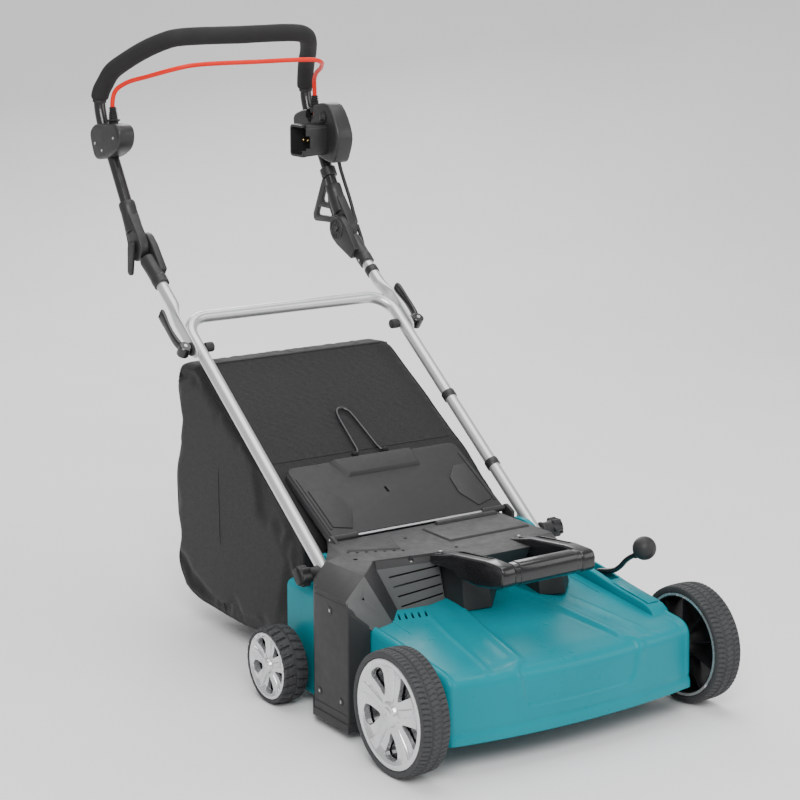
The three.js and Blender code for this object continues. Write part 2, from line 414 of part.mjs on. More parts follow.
// bail housing (left) and switch housing (right)
add('bail_housing', sweepX([[1140, 889], [1114, 905], [1075, 908], [1030, 912], [1003, 908], [992, 889], [1003, 866], [1042, 848], [1085, 838], [1118, 838], [1134, 862]], -243, -207)
  .subtract(tubeCut(-1, 1, 7))
  .subtract(cylX(8.5, -232, -206, BAIL_P.y, BAIL_P.z, 14)).subtract(box(-232, -206.5, BAIL_P.y - 14, BAIL_P.y + 14, BAIL_P.z, 940)), 'black');
add('switch_housing', sweepX([[1134, 889], [1108, 905], [1075, 912], [1055, 921], [1003, 923], [966, 870], [975, 828], [992, 812], [1041, 822], [1085, 838], [1118, 848]], 207, 245)
  .subtract(tubeCut(1, 1, 7))
  .subtract(cylX(8.5, 206, 232, BAIL_P.y, BAIL_P.z, 14)).subtract(box(206.5, 232, BAIL_P.y - 14, BAIL_P.y + 14, BAIL_P.z, 940))
  .subtract(cylX(8.4, 200, 213, 1018, 900, 16)), 'black');
add('lock_off_button', cylX(8, 202, 208.4, 1018, 900, 16), 'red');
add('plug_shroud', sweepX([[1002, 826], [1050, 826], [1050, 886], [1002, 886]], 152, 206.7)
  .subtract(sweepX([[1005, 829], [1047, 829], [1047, 883], [1005, 883]], 150, 202)), 'black');
add('inlet_pins', box(197, 201.6, 1010, 1042, 838, 874).add(cylX(2.4, 170, 199, 1018, 856, 8)).add(cylX(2.4, 170, 199, 1034, 856, 8)), 'brass');
// bail with its rubber boots
{
  const half = [V(220, 1068, 893), V(220, 1069, 920), V(220.6, 1070, 946), V(217, 1065, 966), V(207, 1042, 982), V(185, 988, 998), V(155, 940, 1013), V(128, 925, 1019)];
  const pts = [V(-228, 1068, 893), ...half.map((p) => V(-p.x, p.y, p.z)), V(0, 926, 1020), ...half.slice().reverse(), V(228, 1068, 893)];
  add('bail', pipe(pts.slice(1, -1), 4.25, 8).add(cylX(6.5, -231, -214, BAIL_P.y, BAIL_P.z, 12)).add(cylX(6.5, 214, 231, BAIL_P.y, BAIL_P.z, 12)), 'red');
  for (const s of [-1, 1]) add(s > 0 ? 'bail_boot_right' : 'bail_boot_left',
    rod(V(s * 220.1, 1069.2, 912), V(s * 220.5, 1070, 937), 8.5, 12, 7).subtract(rod(V(s * 219.97, 1068.7, 900), V(s * 220.7, 1070.2, 948), 5.4, 10)), 'rubber');
}
// cable hook on the right tube
add('cable_hook', (() => {
  let h = sweepX([[1026, 786], [1042, 786], [1082, 700], [1076, 688], [1008, 692], [1002, 704]].reverse(), 222, 230);
  h = h.subtract(sweepX([[1032, 764], [1038, 764], [1050, 732], [1026, 730]].reverse(), 220, 232));
  h = h.subtract(sweepX([[1020, 718], [1062, 718], [1068, 702], [1012, 704]].reverse(), 220, 232));
  h = h.add(rod(V(TOP_X, 1024, 781), V(TOP_X, 1034, 797), 16, 14));
  return h.subtract(pipe([V(TOP_X, 975, 702.7), V(TOP_X, 1010, 759), V(TOP_X, 1064, 845)], TUBE_R + 0.6, 12))
    .subtract(rod(at(TOP_X, along(ELBOW, 58, 20)), at(TOP_X, along(ELBOW, 58, 93)), 17, 16, 16))
    .subtract(slab(ELBOW, 58, -5, 62, -17.6, 17.6, 217, 238)).subtract(cylX(26, 216, 238, ELBOW.y, ELBOW.z, 24));
})(), 'black');

// ---------- lead from the switch to the motor, clipped along the right tubes ----------
const CR = 3.5;
add('lead_upper', pipe(smooth([V(236, 1006, 811), V(240, 1006, 796), V(247, 1004, 772), V(252, 994, 742), V(252, 978, 712), V(252, 968, 694)], 12), CR, 8), 'rubber');
{
  const P = (p, x, s, o) => at(x, along(p, LEG_DEG, s, o));
  add('lead_middle', pipe(smooth([V(252, 966, 690.5), V(251, 950, 668), V(243, 920, 636), P(CAM, 235, 110, 19), P(CAM, 234.6, 60, 19), P(CAM, 234.6, -20, 19)], 14), CR, 8), 'rubber');
  add('lead_lower', pipe([P(CAM, 234.6, -22, 19), P(CAM, 232, -50, 19), P(CAM, 227, -90, 18), P(PIVOT, 227, 300, 18), P(PIVOT, 227, 180, 18), P(PIVOT, 227, 70, 18)], CR, 8), 'rubber');
  const e = along(PIVOT, LEG_DEG, 69, 18);
  add('lead_entry', pipe([at(227, e), V(227, e.y - 6, e.z - 6), V(226, e.y - 9, e.z - 16), V(226, e.y - 10, 212)], CR, 8)
    .add(rod(V(226, e.y - 10, 196.3), V(226, e.y - 10, 222), 8, 12, 4.6)), 'rubber');
}

export default group;
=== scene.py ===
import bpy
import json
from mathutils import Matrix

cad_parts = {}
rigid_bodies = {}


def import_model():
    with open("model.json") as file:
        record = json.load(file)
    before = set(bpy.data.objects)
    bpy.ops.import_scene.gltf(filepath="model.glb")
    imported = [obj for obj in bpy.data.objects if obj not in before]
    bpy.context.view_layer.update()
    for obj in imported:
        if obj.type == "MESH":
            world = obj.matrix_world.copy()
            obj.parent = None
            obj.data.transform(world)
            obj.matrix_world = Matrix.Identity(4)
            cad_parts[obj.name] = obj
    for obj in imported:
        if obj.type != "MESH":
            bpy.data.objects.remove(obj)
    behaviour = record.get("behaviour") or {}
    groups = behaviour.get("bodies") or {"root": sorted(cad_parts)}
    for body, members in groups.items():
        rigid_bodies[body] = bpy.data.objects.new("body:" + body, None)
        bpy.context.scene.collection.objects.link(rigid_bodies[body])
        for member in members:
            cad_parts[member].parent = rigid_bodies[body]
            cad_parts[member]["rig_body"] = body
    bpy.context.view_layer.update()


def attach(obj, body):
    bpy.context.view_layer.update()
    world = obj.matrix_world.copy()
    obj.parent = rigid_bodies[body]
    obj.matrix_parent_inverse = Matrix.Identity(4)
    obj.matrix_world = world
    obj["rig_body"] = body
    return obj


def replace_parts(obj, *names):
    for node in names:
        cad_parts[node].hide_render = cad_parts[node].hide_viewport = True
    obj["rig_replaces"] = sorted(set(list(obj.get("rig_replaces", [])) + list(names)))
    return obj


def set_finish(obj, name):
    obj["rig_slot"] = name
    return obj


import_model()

import json
import math
import random
import bpy
import bmesh
import numpy as np
from mathutils import Vector, Matrix, noise

random.seed(7)
OY = 520.0
D = bpy.data


def M(p):
    return Vector((p[0] / 1000.0, (p[1] - OY) / 1000.0, p[2] / 1000.0))


# ------------------------------------------------------------------ camera, light, floor
scene = bpy.context.scene
cam = D.cameras.new("camera")
cam.lens, cam.sensor_width = 98.6, 36.0
cam.clip_start, cam.clip_end = 0.05, 60
camo = D.objects.new("camera", cam)
scene.collection.objects.link(camo)
camo.location = M((-2056.2, -2630.6, 1314.5))
fwd = Vector((0.54258, 0.80988, -0.22294)).normalized()
camo.rotation_euler = fwd.to_track_quat("-Z", "Y").to_euler()
scene.camera = camo


def area(name, loc, target, size, power, color=(1, 1, 1)):
    l = D.lights.new(name, "AREA")
    l.shape, l.size, l.energy, l.color = "RECTANGLE", size[0], power, color
    l.size_y = size[1]
    o = D.objects.new(name, l)
    scene.collection.objects.link(o)
    o.location = loc
    o.rotation_euler = (Vector(target) - Vector(loc)).to_track_quat("-Z", "Y").to_euler()
    return o


area("key", (-2.2, -3.2, 3.3), (0, 0, 0.3), (2.2, 2.2), 165)
area("fill", (2.6, -2.8, 2.0), (0, 0, 0.3), (2.6, 2.2), 38)
area("top", (0.2, 0.3, 3.6), (0, 0, 0), (3.0, 3.0), 75)
area("rim", (1.4, 3.2, 2.4), (0, 0, 0.5), (2.4, 1.6), 55)
world = D.worlds.new("world")
scene.world = world
world.use_nodes = True
bg = world.node_tree.nodes["Background"]
bg.inputs[0].default_value = (1.0, 1.0, 1.0, 1)
bg.inputs[1].default_value = 0.55


# ------------------------------------------------------------------ materials
def nt(name):
    m = D.materials.new(name)
    m.use_nodes = True
    t = m.node_tree
    b = t.nodes["Principled BSDF"]
    c = t.nodes.new("ShaderNodeTexCoord")
    return m, t, b, c.outputs["Object"]


def link(t, a, b):
    t.links.new(a, b)


def noise_node(t, vec, scale, detail=4.0, rough=0.55, stretch=None):
    if stretch:
        mp = t.nodes.new("ShaderNodeMapping")
        mp.inputs["Scale"].default_value = stretch
        link(t, vec, mp.inputs["Vector"])
        vec = mp.outputs[0]
    n = t.nodes.new("ShaderNodeTexNoise")
    n.inputs["Scale"].default_value = scale
    n.inputs["Detail"].default_value = detail
    n.inputs["Roughness"].default_value = rough
    link(t, vec, n.inputs["Vector"])
    return n.outputs["Fac"]


def rng(t, v, lo, hi, a=0.3, b=0.7):
    r = t.nodes.new("ShaderNodeMapRange")
    r.inputs[1].default_value, r.inputs[2].default_value = a, b
    r.inputs[3].default_value, r.inputs[4].default_value = lo, hi
    link(t, v, r.inputs[0])
    return r.outputs[0]


def mixc(t, f, a, b):
    m = t.nodes.new("ShaderNodeMix")
    m.data_type = "RGBA"
    for i, v in ((6, a), (7, b)):
        if isinstance(v, (tuple, list)):
            m.inputs[i].default_value = (*v[:3], 1)
        else:
            link(t, v, m.inputs[i])
    link(t, f, m.inputs[0])
    return m.outputs[2]


def bump(t, b, h, strength, dist, prev=None):
    n = t.nodes.new("ShaderNodeBump")
    n.inputs["Strength"].default_value = strength
    n.inputs["Distance"].default_value = dist
    link(t, h, n.inputs["Height"])
    if prev is not None:
        link(t, prev, n.inputs["Normal"])
    link(t, n.outputs[0], b.inputs["Normal"])
    return n.outputs[0]


def plastic(name, col, rough=0.5, rvar=0.08, grain=1800, gstr=0.25, gdist=0.00006, cvar=0.12, coat=0.0, wave=0.0, metal=0.0, spec=0.5):
    m, t, b, o = nt(name)
    big = noise_node(t, o, 9.0, 5, 0.6)
    mid = noise_node(t, o, 70.0, 4, 0.6)
    fine = noise_node(t, o, grain, 3, 0.6)
    dark = tuple(c * (1 - cvar) for c in col)
    lite = tuple(min(1, c * (1 + cvar)) for c in col)
    c1 = mixc(t, rng(t, big, 0, 1), dark, lite)
    dust = tuple(min(1, c * 0.9 + 0.005) for c in col)
    c2 = mixc(t, rng(t, mid, 0, 0.3, 0.45, 0.8), c1, dust)
    link(t, c2, b.inputs["Base Color"])
    add = t.nodes.new("ShaderNodeMath")
    add.operation = "ADD"
    link(t, rng(t, mid, rough - rvar, rough + rvar), add.inputs[0])
    link(t, rng(t, big, -rvar * 0.5, rvar * 0.5), add.inputs[1])
    link(t, add.outputs[0], b.inputs["Roughness"])
    b.inputs["Metallic"].default_value = metal
    b.inputs["Specular IOR Level"].default_value = spec
    if coat:
        b.inputs["Coat Weight"].default_value = coat
        b.inputs["Coat Roughness"].default_value = 0.12
    p = bump(t, b, fine, gstr, gdist)
    if wave:
        bump(t, b, noise_node(t, o, 22.0, 3, 0.5), wave, 0.0012, p)
    return m


def metal(name, col, rough=0.3, met=0.85, stretch=(1, 1, 1), cvar=0.06, grain=600):
    m, t, b, o = nt(name)
    big = noise_node(t, o, 14, 5, 0.6)
    brush = noise_node(t, o, grain, 5, 0.65, stretch)
    c1 = mixc(t, rng(t, big, 0, 1), tuple(c * (1 - cvar) for c in col), tuple(min(1, c * (1 + cvar)) for c in col))
    c2 = mixc(t, rng(t, brush, 0, 0.5), c1, tuple(c * 0.82 for c in col))
    link(t, c2, b.inputs["Base Color"])
    link(t, rng(t, brush, rough * 0.8, rough * 1.3), b.inputs["Roughness"])
    b.inputs["Metallic"].default_value = met
    bump(t, b, brush, 0.12, 0.00005)
    return m


def fabric(name, col):
    m, t, b, o = nt(name)
    w = []
    for k, d in enumerate(("X", "Y", "Z")):
        n = t.nodes.new("ShaderNodeTexWave")
        n.wave_type, n.bands_direction = "BANDS", d
        n.inputs["Scale"].default_value = 290
        n.inputs["Distortion"].default_value = 1.2
        n.inputs["Detail"].default_value = 2
        n.inputs["Detail Scale"].default_value = 1.0
        link(t, o, n.inputs["Vector"])
        w.append(n.outputs["Fac"])
    a = t.nodes.new("ShaderNodeMath"); a.operation = "ADD"
    link(t, w[0], a.inputs[0]); link(t, w[1], a.inputs[1])
    c = t.nodes.new("ShaderNodeMath"); c.operation = "ADD"
    link(t, a.outputs[0], c.inputs[0]); link(t, w[2], c.inputs[1])
    big = noise_node(t, o, 5, 5, 0.6)
    lint = noise_node(t, o, 260, 3, 0.7)
    c1 = mixc(t, rng(t, big, 0, 1), tuple(x * 0.8 for x in col), tuple(x * 1.25 for x in col))
    c2 = mixc(t, rng(t, c.outputs[0], 0, 0.55, 0.9, 2.1), c1, tuple(x * 0.45 for x in col))
    c3 = mixc(t, rng(t, lint, 0, 0.35, 0.62, 0.8), c2, tuple(x * 2.2 + 0.004 for x in col))
    link(t, c3, b.inputs["Base Color"])
    link(t, rng(t, lint, 0.72, 0.9), b.inputs["Roughness"])
    b.inputs["Sheen Weight"].default_value = 0.08
    b.inputs["Sheen Roughness"].default_value = 0.5
    p = bump(t, b, c.outputs[0], 0.35, 0.00025)
    bump(t, b, noise_node(t, o, 34, 4, 0.6), 0.25, 0.0012, p)
    return m


def foam_mat(name, col):
    m, t, b, o = nt(name)
    v = t.nodes.new("ShaderNodeTexVoronoi")
    v.inputs["Scale"].default_value = 900
    link(t, o, v.inputs["Vector"])
    big = noise_node(t, o, 20, 4, 0.6)
    c1 = mixc(t, rng(t, big, 0, 1), tuple(x * 0.85 for x in col), tuple(x * 1.2 for x in col))
    c2 = mixc(t, rng(t, v.outputs["Distance"], 0, 0.6, 0.1, 0.6), tuple(x * 0.5 for x in col), c1)
    link(t, c2, b.inputs["Base Color"])
    link(t, rng(t, big, 0.78, 0.92), b.inputs["Roughness"])
    bump(t, b, v.outputs["Distance"], 0.35, 0.00018)
    return m


def tyre_mat(name, col):
    m, t, b, o = nt(name)
    big = noise_node(t, o, 16, 5, 0.6)
    fine = noise_node(t, o, 420, 5, 0.7)
    dust = noise_node(t, o, 48, 5, 0.7)
    c1 = mixc(t, rng(t, big, 0, 1), tuple(x * 0.82 for x in col), tuple(x * 1.2 for x in col))
    c2 = mixc(t, rng(t, dust, 0, 0.35, 0.55, 0.75), c1, tuple(x * 1.3 + 0.02 for x in col))
    link(t, c2, b.inputs["Base Color"])
    link(t, rng(t, fine, 0.62, 0.85), b.inputs["Roughness"])
    bump(t, b, fine, 0.4, 0.00015)
    return m


MT = {
    "teal": plastic("teal_plastic", (0.0, 0.215, 0.262), 0.32, 0.05, 1500, 0.18, 0.00005, 0.05, 0.0, 0.05, 0.0, 0.16),
    "black": plastic("black_grained_plastic", (0.027, 0.027, 0.028), 0.5, 0.07, 1500, 0.5, 0.00011, 0.10, 0.0, 0.0, 0.0, 0.34),
    # paler plastic for faces that catch the light: a painted highlight
    "painted_highlight_grey": plastic("black_plastic_painted_highlight", (0.088, 0.088, 0.088), 0.5, 0.06, 1500, 0.5, 0.00010, 0.08),
    "gloss": plastic("gloss_black_plastic", (0.010, 0.010, 0.011), 0.20, 0.05, 900, 0.08, 0.00003, 0.08, 0.2),
    "housing": plastic("black_housing_plastic", (0.020, 0.020, 0.021), 0.42, 0.07, 1300, 0.4, 0.00009, 0.1),
    "tyre": tyre_mat("tyre_rubber", (0.036, 0.037, 0.039)),
    "rim": plastic("rim_silver", (0.66, 0.67, 0.68), 0.27, 0.06, 2400, 0.12, 0.00004, 0.05, 0.2, 0, 0.75),
    "steel": metal("zinc_steel", (0.56, 0.56, 0.57), 0.34, 0.95, (1, 30, 30)),
    "tube": metal("silver_tube_paint", (0.70, 0.71, 0.71), 0.30, 0.72, (1, 1, 1), 0.04, 900),
    "btube": plastic("black_tube_paint", (0.014, 0.014, 0.015), 0.24, 0.05, 700, 0.1, 0.00004, 0.1, 0.3),
    "red": plastic("red_rod_paint", (0.78, 0.016, 0.006), 0.36, 0.06, 900, 0.1, 0.00004, 0.07, 0.0, 0.0, 0.0, 0.22),
    "foam": foam_mat("foam_rubber", (0.016, 0.016, 0.017)),
    "fabric": fabric("bag_fabric", (0.0062, 0.0062, 0.0070)),
    "trim": fabric("bag_edge_tape", (0.006, 0.006, 0.0065)),
    "rubber": plastic("cable_rubber", (0.016, 0.016, 0.017), 0.55, 0.08, 700, 0.3, 0.00008, 0.12),
    "brass": metal("brass_pins", (0.72, 0.52, 0.22), 0.25, 1.0),
    "motor": plastic("motor_enamel", (0.10, 0.11, 0.12), 0.42, 0.08, 500, 0.4, 0.0001, 0.15, 0, 0, 0.5),
    # near-black plastic for the walls of slits, wells and holes: painted shade in recesses
    "void_painted_shade": plastic("dark_inside", (0.008, 0.008, 0.008), 0.8, 0.05, 900, 0.2, 0.00005, 0.1),
}
SLOT = {"teal": "teal_deck", "black": "black_cover", "painted_highlight_grey": "black_cover", "gloss": "gloss_black", "housing": "black_cover", "tyre": "tyre", "rim": "rim",
        "steel": "zinc_steel", "tube": "silver_tube", "btube": "black_tube", "red": "red_bail", "foam": "foam", "fabric": "fabric", "trim": "fabric",
        "rubber": "rubber", "brass": "brass", "motor": "motor_steel", "void_painted_shade": "black_cover"}


# ------------------------------------------------------------------ mesh helpers
def make(name, verts, faces, mat, body=None, replaces=(), angle=32, fix=True, mm=True):
    me = D.meshes.new(name)
    me.from_pydata([M(v) if mm else Vector(v) for v in verts], [], [list(map(int, f)) for f in faces])
    me.validate()
    ob = D.objects.new(name, me)
    scene.collection.objects.link(ob)
    if fix:
        bm = bmesh.new()
        bm.from_mesh(me)
        bmesh.ops.remove_doubles(bm, verts=bm.verts, dist=1e-6)
        bmesh.ops.recalc_face_normals(bm, faces=bm.faces)
        bm.to_mesh(me)
        bm.free()
    me.materials.append(MT[mat])
    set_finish(ob, SLOT[mat])
    sharp(ob, angle)
    if replaces:
        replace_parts(ob, *replaces)
    if body:
        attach(ob, body)
    return ob


def sharp(ob, angle=32):
    me = ob.data
    for p in me.polygons:
        p.use_smooth = True
    bm = bmesh.new()
    bm.from_mesh(me)
    lim = math.radians(angle)
    flags = []
    for e in bm.edges:
        flags.append(len(e.link_faces) == 2 and e.calc_face_angle(0) > lim)
    for e, f in zip(bm.edges, flags):
        e.smooth = not f
    bm.to_mesh(me)
    bm.free()


def apply_mods(ob, angle=32):
    dg = bpy.context.evaluated_depsgraph_get()
    dg.update()
    me = D.meshes.new_from_object(ob.evaluated_get(dg))
    ob.modifiers.clear()
    old = ob.data
    ob.data = me
    D.meshes.remove(old)
    sharp(ob, angle)
    return ob


def bevel(ob, w, seg=3, lim=30, clamp=True):
    m = ob.modifiers.new("bevel", "BEVEL")
    m.width, m.segments, m.limit_method, m.angle_limit = w / 1000, seg, "ANGLE", math.radians(lim)
    m.use_clamp_overlap = clamp
    m.miter_outer = "MITER_ARC"
    return ob


def prism(name, poly, x0, x1, mat, body, w=1.5, seg=3, replaces=(), axis="X", angle=32, lim=30):
    """polygon in the plane across an axis, extruded along it, with rounded edges"""
    n = len(poly)
    vs, fs = [], []
    for a in (x0, x1):
        for p, q in poly:
            vs.append((a, p, q) if axis == "X" else (p, a, q) if axis == "Y" else (p, q, a))
    fs.append(list(range(n))[::-1])
    fs.append(list(range(n, 2 * n)))
    for i in range(n):
        j = (i + 1) % n
        fs.append([i, j, n + j, n + i])
    ob = make(name, vs, fs, mat)
    if w:
        bevel(ob, w, seg, lim)
        apply_mods(ob, angle)
    if replaces:
        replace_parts(ob, *replaces)
    if body:
        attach(ob, body)
    return ob


def blockm(name, x0, x1, y0, y1, z0, z1, mat, body, w=1.2, seg=3, replaces=()):
    return prism(name, [(y0, z0), (y1, z0), (y1, z1), (y0, z1)], x0, x1, mat, body, w, seg, replaces)


def polyobj(name, verts, faces, mat, body, w=2.0, seg=3, replaces=(), angle=32, lim=12):
    ob = make(name, verts, faces, mat)
    if w:
        bevel(ob, w, seg, lim)
        apply_mods(ob, angle)
    if replaces:
        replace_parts(ob, *replaces)
    if body:
        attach(ob, body)
    return ob


def lathe_data(prof, seg=48, axis="X", c=(0, 0, 0), closed=False, a0=0.0):
    """prof: (radius, along) pairs; returns verts and faces"""
    vs, fs = [], []
    n = len(prof)
    for k in range(seg):
        a = a0 + 2 * math.pi * k / seg
        ca, sa = math.cos(a), math.sin(a)
        for r, h in prof:
            if axis == "X":
                vs.append((c[0] + h, c[1] + r * ca, c[2] + r * sa))
            elif axis == "Z":
                vs.append((c[0] + r * ca, c[1] + r * sa, c[2] + h))
            else:
                vs.append((c[0] + r * ca, c[1] + h, c[2] + r * sa))
    for k in range(seg):
        k2 = (k + 1) % seg
        for i in range(n - 1 + (1 if closed else 0)):
            j = (i + 1) % n
            fs.append([k * n + i, k2 * n + i, k2 * n + j, k * n + j])
    return vs, fs


def lathe(name, prof, mat, body, seg=48, axis="X", c=(0, 0, 0), closed=False, replaces=(), angle=30):
    vs, fs = lathe_data(prof, seg, axis, c, closed)
    if not closed:
        n = len(prof)
        if prof[0][0] > 1e-6:
            fs.append([k * n for k in range(seg)])
        if prof[-1][0] > 1e-6:
            fs.append([k * n + n - 1 for k in range(seg)])
    return make(name, vs, fs, mat, body, replaces, angle)


def rot_to(d):
    return Vector((0, 0, 1)).rotation_difference(Vector(d).normalized()).to_matrix()


def lathe_on(name, prof, mat, body, a, b, seg=32, replaces=(), angle=30, closed=False):
    """turned part on the line a->b; prof gives (radius, distance from a)"""
    a, b = Vector(a), Vector(b)
    R = rot_to(b - a)
    vs, fs = lathe_data(prof, seg, "Z", (0, 0, 0), closed)
    if not closed:
        n = len(prof)
        if prof[0][0] > 1e-6:
            fs.append([k * n for k in range(seg)])
        if prof[-1][0] > 1e-6:
            fs.append([k * n + n - 1 for k in range(seg)])
    vs = [tuple(a + R @ Vector(v)) for v in vs]
    return make(name, vs, fs, mat, body, replaces, angle)


def fillet(pts, r, seg=8):
    """polyline with rounded corners; r is one radius or one per inner point"""
    pts = [Vector(p) for p in pts]
    out = [pts[0]]
    for i in range(1, len(pts) - 1):
        rr = r[i - 1] if isinstance(r, (list, tuple)) else r
        a, b, c = pts[i - 1], pts[i], pts[i + 1]
        u, v = (a - b), (c - b)
        lu, lv = u.length, v.length
        u.normalize(); v.normalize()
        ang = u.angle(v)
        t = rr / math.tan(ang / 2)
        t = min(t, lu * 0.49, lv * 0.49)
        R = t * math.tan(ang / 2)
        p0, p1 = b + u * t, b + v * t
        cen = b + (u + v).normalized() * (R / math.sin(ang / 2))
        e0, e1 = (p0 - cen), (p1 - cen)
        tot = e0.angle(e1)
        ax = e0.cross(e1).normalized()
        for k in range(seg + 1):
            out.append(cen + Matrix.Rotation(tot * k / seg, 3, ax) @ e0)
    out.append(pts[-1])
    return out


def catmull(pts, per=8):
    pts = [Vector(p) for p in pts]
    P = [2 * pts[0] - pts[1]] + pts + [2 * pts[-1] - pts[-2]]
    out = []
    for i in range(1, len(P) - 2):
        p0, p1, p2, p3 = P[i - 1:i + 3]
        t0 = 0.0
        t1 = t0 + max((p1 - p0).length, 1e-6) ** 0.5
        t2 = t1 + max((p2 - p1).length, 1e-6) ** 0.5
        t3 = t2 + max((p3 - p2).length, 1e-6) ** 0.5
        for k in range(per):
            t = t1 + (t2 - t1) * k / per
            a1 = p0 * ((t1 - t) / (t1 - t0)) + p1 * ((t - t0) / (t1 - t0))
            a2 = p1 * ((t2 - t) / (t2 - t1)) + p2 * ((t - t1) / (t2 - t1))
            a3 = p2 * ((t3 - t) / (t3 - t2)) + p3 * ((t - t2) / (t3 - t2))
            b1 = a1 * ((t2 - t) / (t2 - t0)) + a2 * ((t - t0) / (t2 - t0))
            b2 = a2 * ((t3 - t) / (t3 - t1)) + a3 * ((t - t1) / (t3 - t1))
            out.append(b1 * ((t2 - t) / (t2 - t1)) + b2 * ((t - t1) / (t2 - t1)))
    out.append(pts[-1])
    return out


def tube_data(pts, r, seg=20, ends="round", shape=None, up=None):
    pts = [Vector(p) for p in pts]
    n = len(pts)
    T = []
    for i in range(n):
        a = pts[max(i - 1, 0)]
        b = pts[min(i + 1, n - 1)]
        T.append((b - a).normalized())
    ref = Vector(up) if up else (Vector((1, 0, 0)) if abs(T[0].x) < 0.8 else Vector((0, 0, 1)))
    U = (ref - T[0] * ref.dot(T[0])).normalized()
    vs, fs, rings = [], [], []
    for i in range(n):
        if i:
            ax = T[i - 1].cross(T[i])
            if ax.length > 1e-9:
                U = Matrix.Rotation(T[i - 1].angle(T[i]), 3, ax.normalized()) @ U
            U = (U - T[i] * U.dot(T[i])).normalized()
        W = T[i].cross(U)
        rr = r(i) if callable(r) else (r[i] if isinstance(r, (list, tuple)) else r)
        a, b = rr if isinstance(rr, (tuple, list)) else (rr, rr)
        rings.append((pts[i], U.copy(), W, a, b, T[i]))
    if ends == "round":
        p, U0, W0, a, b, t = rings[0]
        e = min(a, b) * 0.18
        rings.insert(0, (p, U0, W0, a - e, b - e, t))
        rings[1] = (p + t * e, U0, W0, a, b, t)
        p, U0, W0, a, b, t = rings[-1]
        rings[-1] = (p - t * e, U0, W0, a, b, t)
        rings.append((p, U0, W0, a - e, b - e, t))
    for p, U0, W0, a, b, t in rings:
        for k in range(seg):
            an = 2 * math.pi * k / seg
            c, s = math.cos(an), math.sin(an)
            if shape:
                f = shape(an)
                c, s = c * f, s * f
            vs.append(tuple(p + U0 * (a * c) + W0 * (b * s)))
    m = len(rings)
    for i in range(m - 1):
        for k in range(seg):
            k2 = (k + 1) % seg
            fs.append([i * seg + k, i * seg + k2, (i + 1) * seg + k2, (i + 1) * seg + k])
    fs.append([k for k in range(seg)][::-1])
    fs.append([(m - 1) * seg + k for k in range(seg)])
    return vs, fs


def tube(name, pts, r, mat, body=None, seg=20, replaces=(), ends="round", shape=None, up=None, angle=35):
    vs, fs = tube_data(pts, r, seg, ends, shape, up)
    return make(name, vs, fs, mat, body, replaces, angle)


def join(name, obs):
    """joins pieces on the same body into one object"""
    base = obs[0]
    mats, vs, fs, mi, sm = [], [], [], [], []
    off = 0
    bm = bmesh.new()
    for o in obs:
        for m in o.data.materials:
            if m not in mats:
                mats.append(m)
    for o in obs:
        tmp = bmesh.new()
        tmp.from_mesh(o.data)
        idx = [mats.index(m) for m in o.data.materials]
        for f in tmp.faces:
            f.material_index = idx[f.material_index] if idx else 0
        t = D.meshes.new("t")
        tmp.to_mesh(t)
        tmp.free()
        bm.from_mesh(t)
        D.meshes.remove(t)
    me = D.meshes.new(name)
    bm.to_mesh(me)
    bm.free()
    for m in mats:
        me.materials.append(m)
    reps, body = [], base.get("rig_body")
    slotn = base.get("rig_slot")
    for o in obs:
        reps += list(o.get("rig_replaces", []))
        D.objects.remove(o)
    ob = D.objects.new(name, me)
    scene.collection.objects.link(ob)
    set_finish(ob, slotn)
    if reps:
        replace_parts(ob, *reps)
    if body:
        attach(ob, body)
    return ob


def boolean(ob, cutters, op="DIFFERENCE", angle=32):
    for c in cutters:
        bpy.context.view_layer.update()
        m = ob.modifiers.new("b", "BOOLEAN")
        m.object, m.operation, m.solver = c, op, "EXACT"
        m.use_hole_tolerant = True
        keep = ob.data.copy()
        apply_mods(ob, angle)
        if len(ob.data.polygons) < 0.5 * len(keep.polygons) and op == "DIFFERENCE":
            ob.data = keep
    for c in cutters:
        D.objects.remove(c)
    return ob


def along(p, deg, s, off=0.0):
    c, n = math.cos(math.radians(deg)), math.sin(math.radians(deg))
    return (p[0] + s * c + off * n, p[1] + s * n - off * c)


def at(x, p):
    return (x, p[0], p[1])


def screw(name, c, d, r, body, mat="steel"):
    """a cross-slot pan head"""
    c, d = Vector(c), Vector(d).normalized()
    ob = lathe_on(name, [(0.0, 1.6), (r * 0.5, 1.55), (r * 0.85, 1.2), (r, 0.4), (r, -0.8), (0.0, -0.8)][::-1], mat, None, c, c + d * 3, 20)
    R = rot_to(d)
    cuts = []
    for a in (0, math.pi / 2):
        vs = []
        for z in (0.6, 3):
            for x, y in ((-r * 0.62, -r * 0.12), (r * 0.62, -r * 0.12), (r * 0.62, r * 0.12), (-r * 0.62, r * 0.12)):
                q = Matrix.Rotation(a, 3, "Z") @ Vector((x, y, z))
                vs.append(tuple(c + R @ q))
        cuts.append(make("cut", vs, [[3, 2, 1, 0], [4, 5, 6, 7], [0, 1, 5, 4], [1, 2, 6, 5], [2, 3, 7, 6], [3, 0, 4, 7]], mat))
    boolean(ob, cuts)
    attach(ob, body)
    return ob


def sm(x, a, b):
    t = np.clip((x - a) / (b - a), 0, 1)
    return t * t * (3 - 2 * t)


def hull(pts, mat="black"):
    bm = bmesh.new()
    for p in pts:
        bm.verts.new(M(p))
    bmesh.ops.convex_hull(bm, input=list(bm.verts))
    loose = [v for v in bm.verts if not v.link_faces]
    bmesh.ops.delete(bm, geom=loose, context="VERTS")
    bmesh.ops.dissolve_limit(bm, angle_limit=math.radians(2.0), verts=list(bm.verts), edges=list(bm.edges))
    bmesh.ops.recalc_face_normals(bm, faces=bm.faces)
    me = D.meshes.new("hull")
    bm.to_mesh(me)
    bm.free()
    ob = D.objects.new("hull", me)
    scene.collection.objects.link(ob)
    me.materials.append(MT[mat])
    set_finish(ob, SLOT[mat])
    return ob


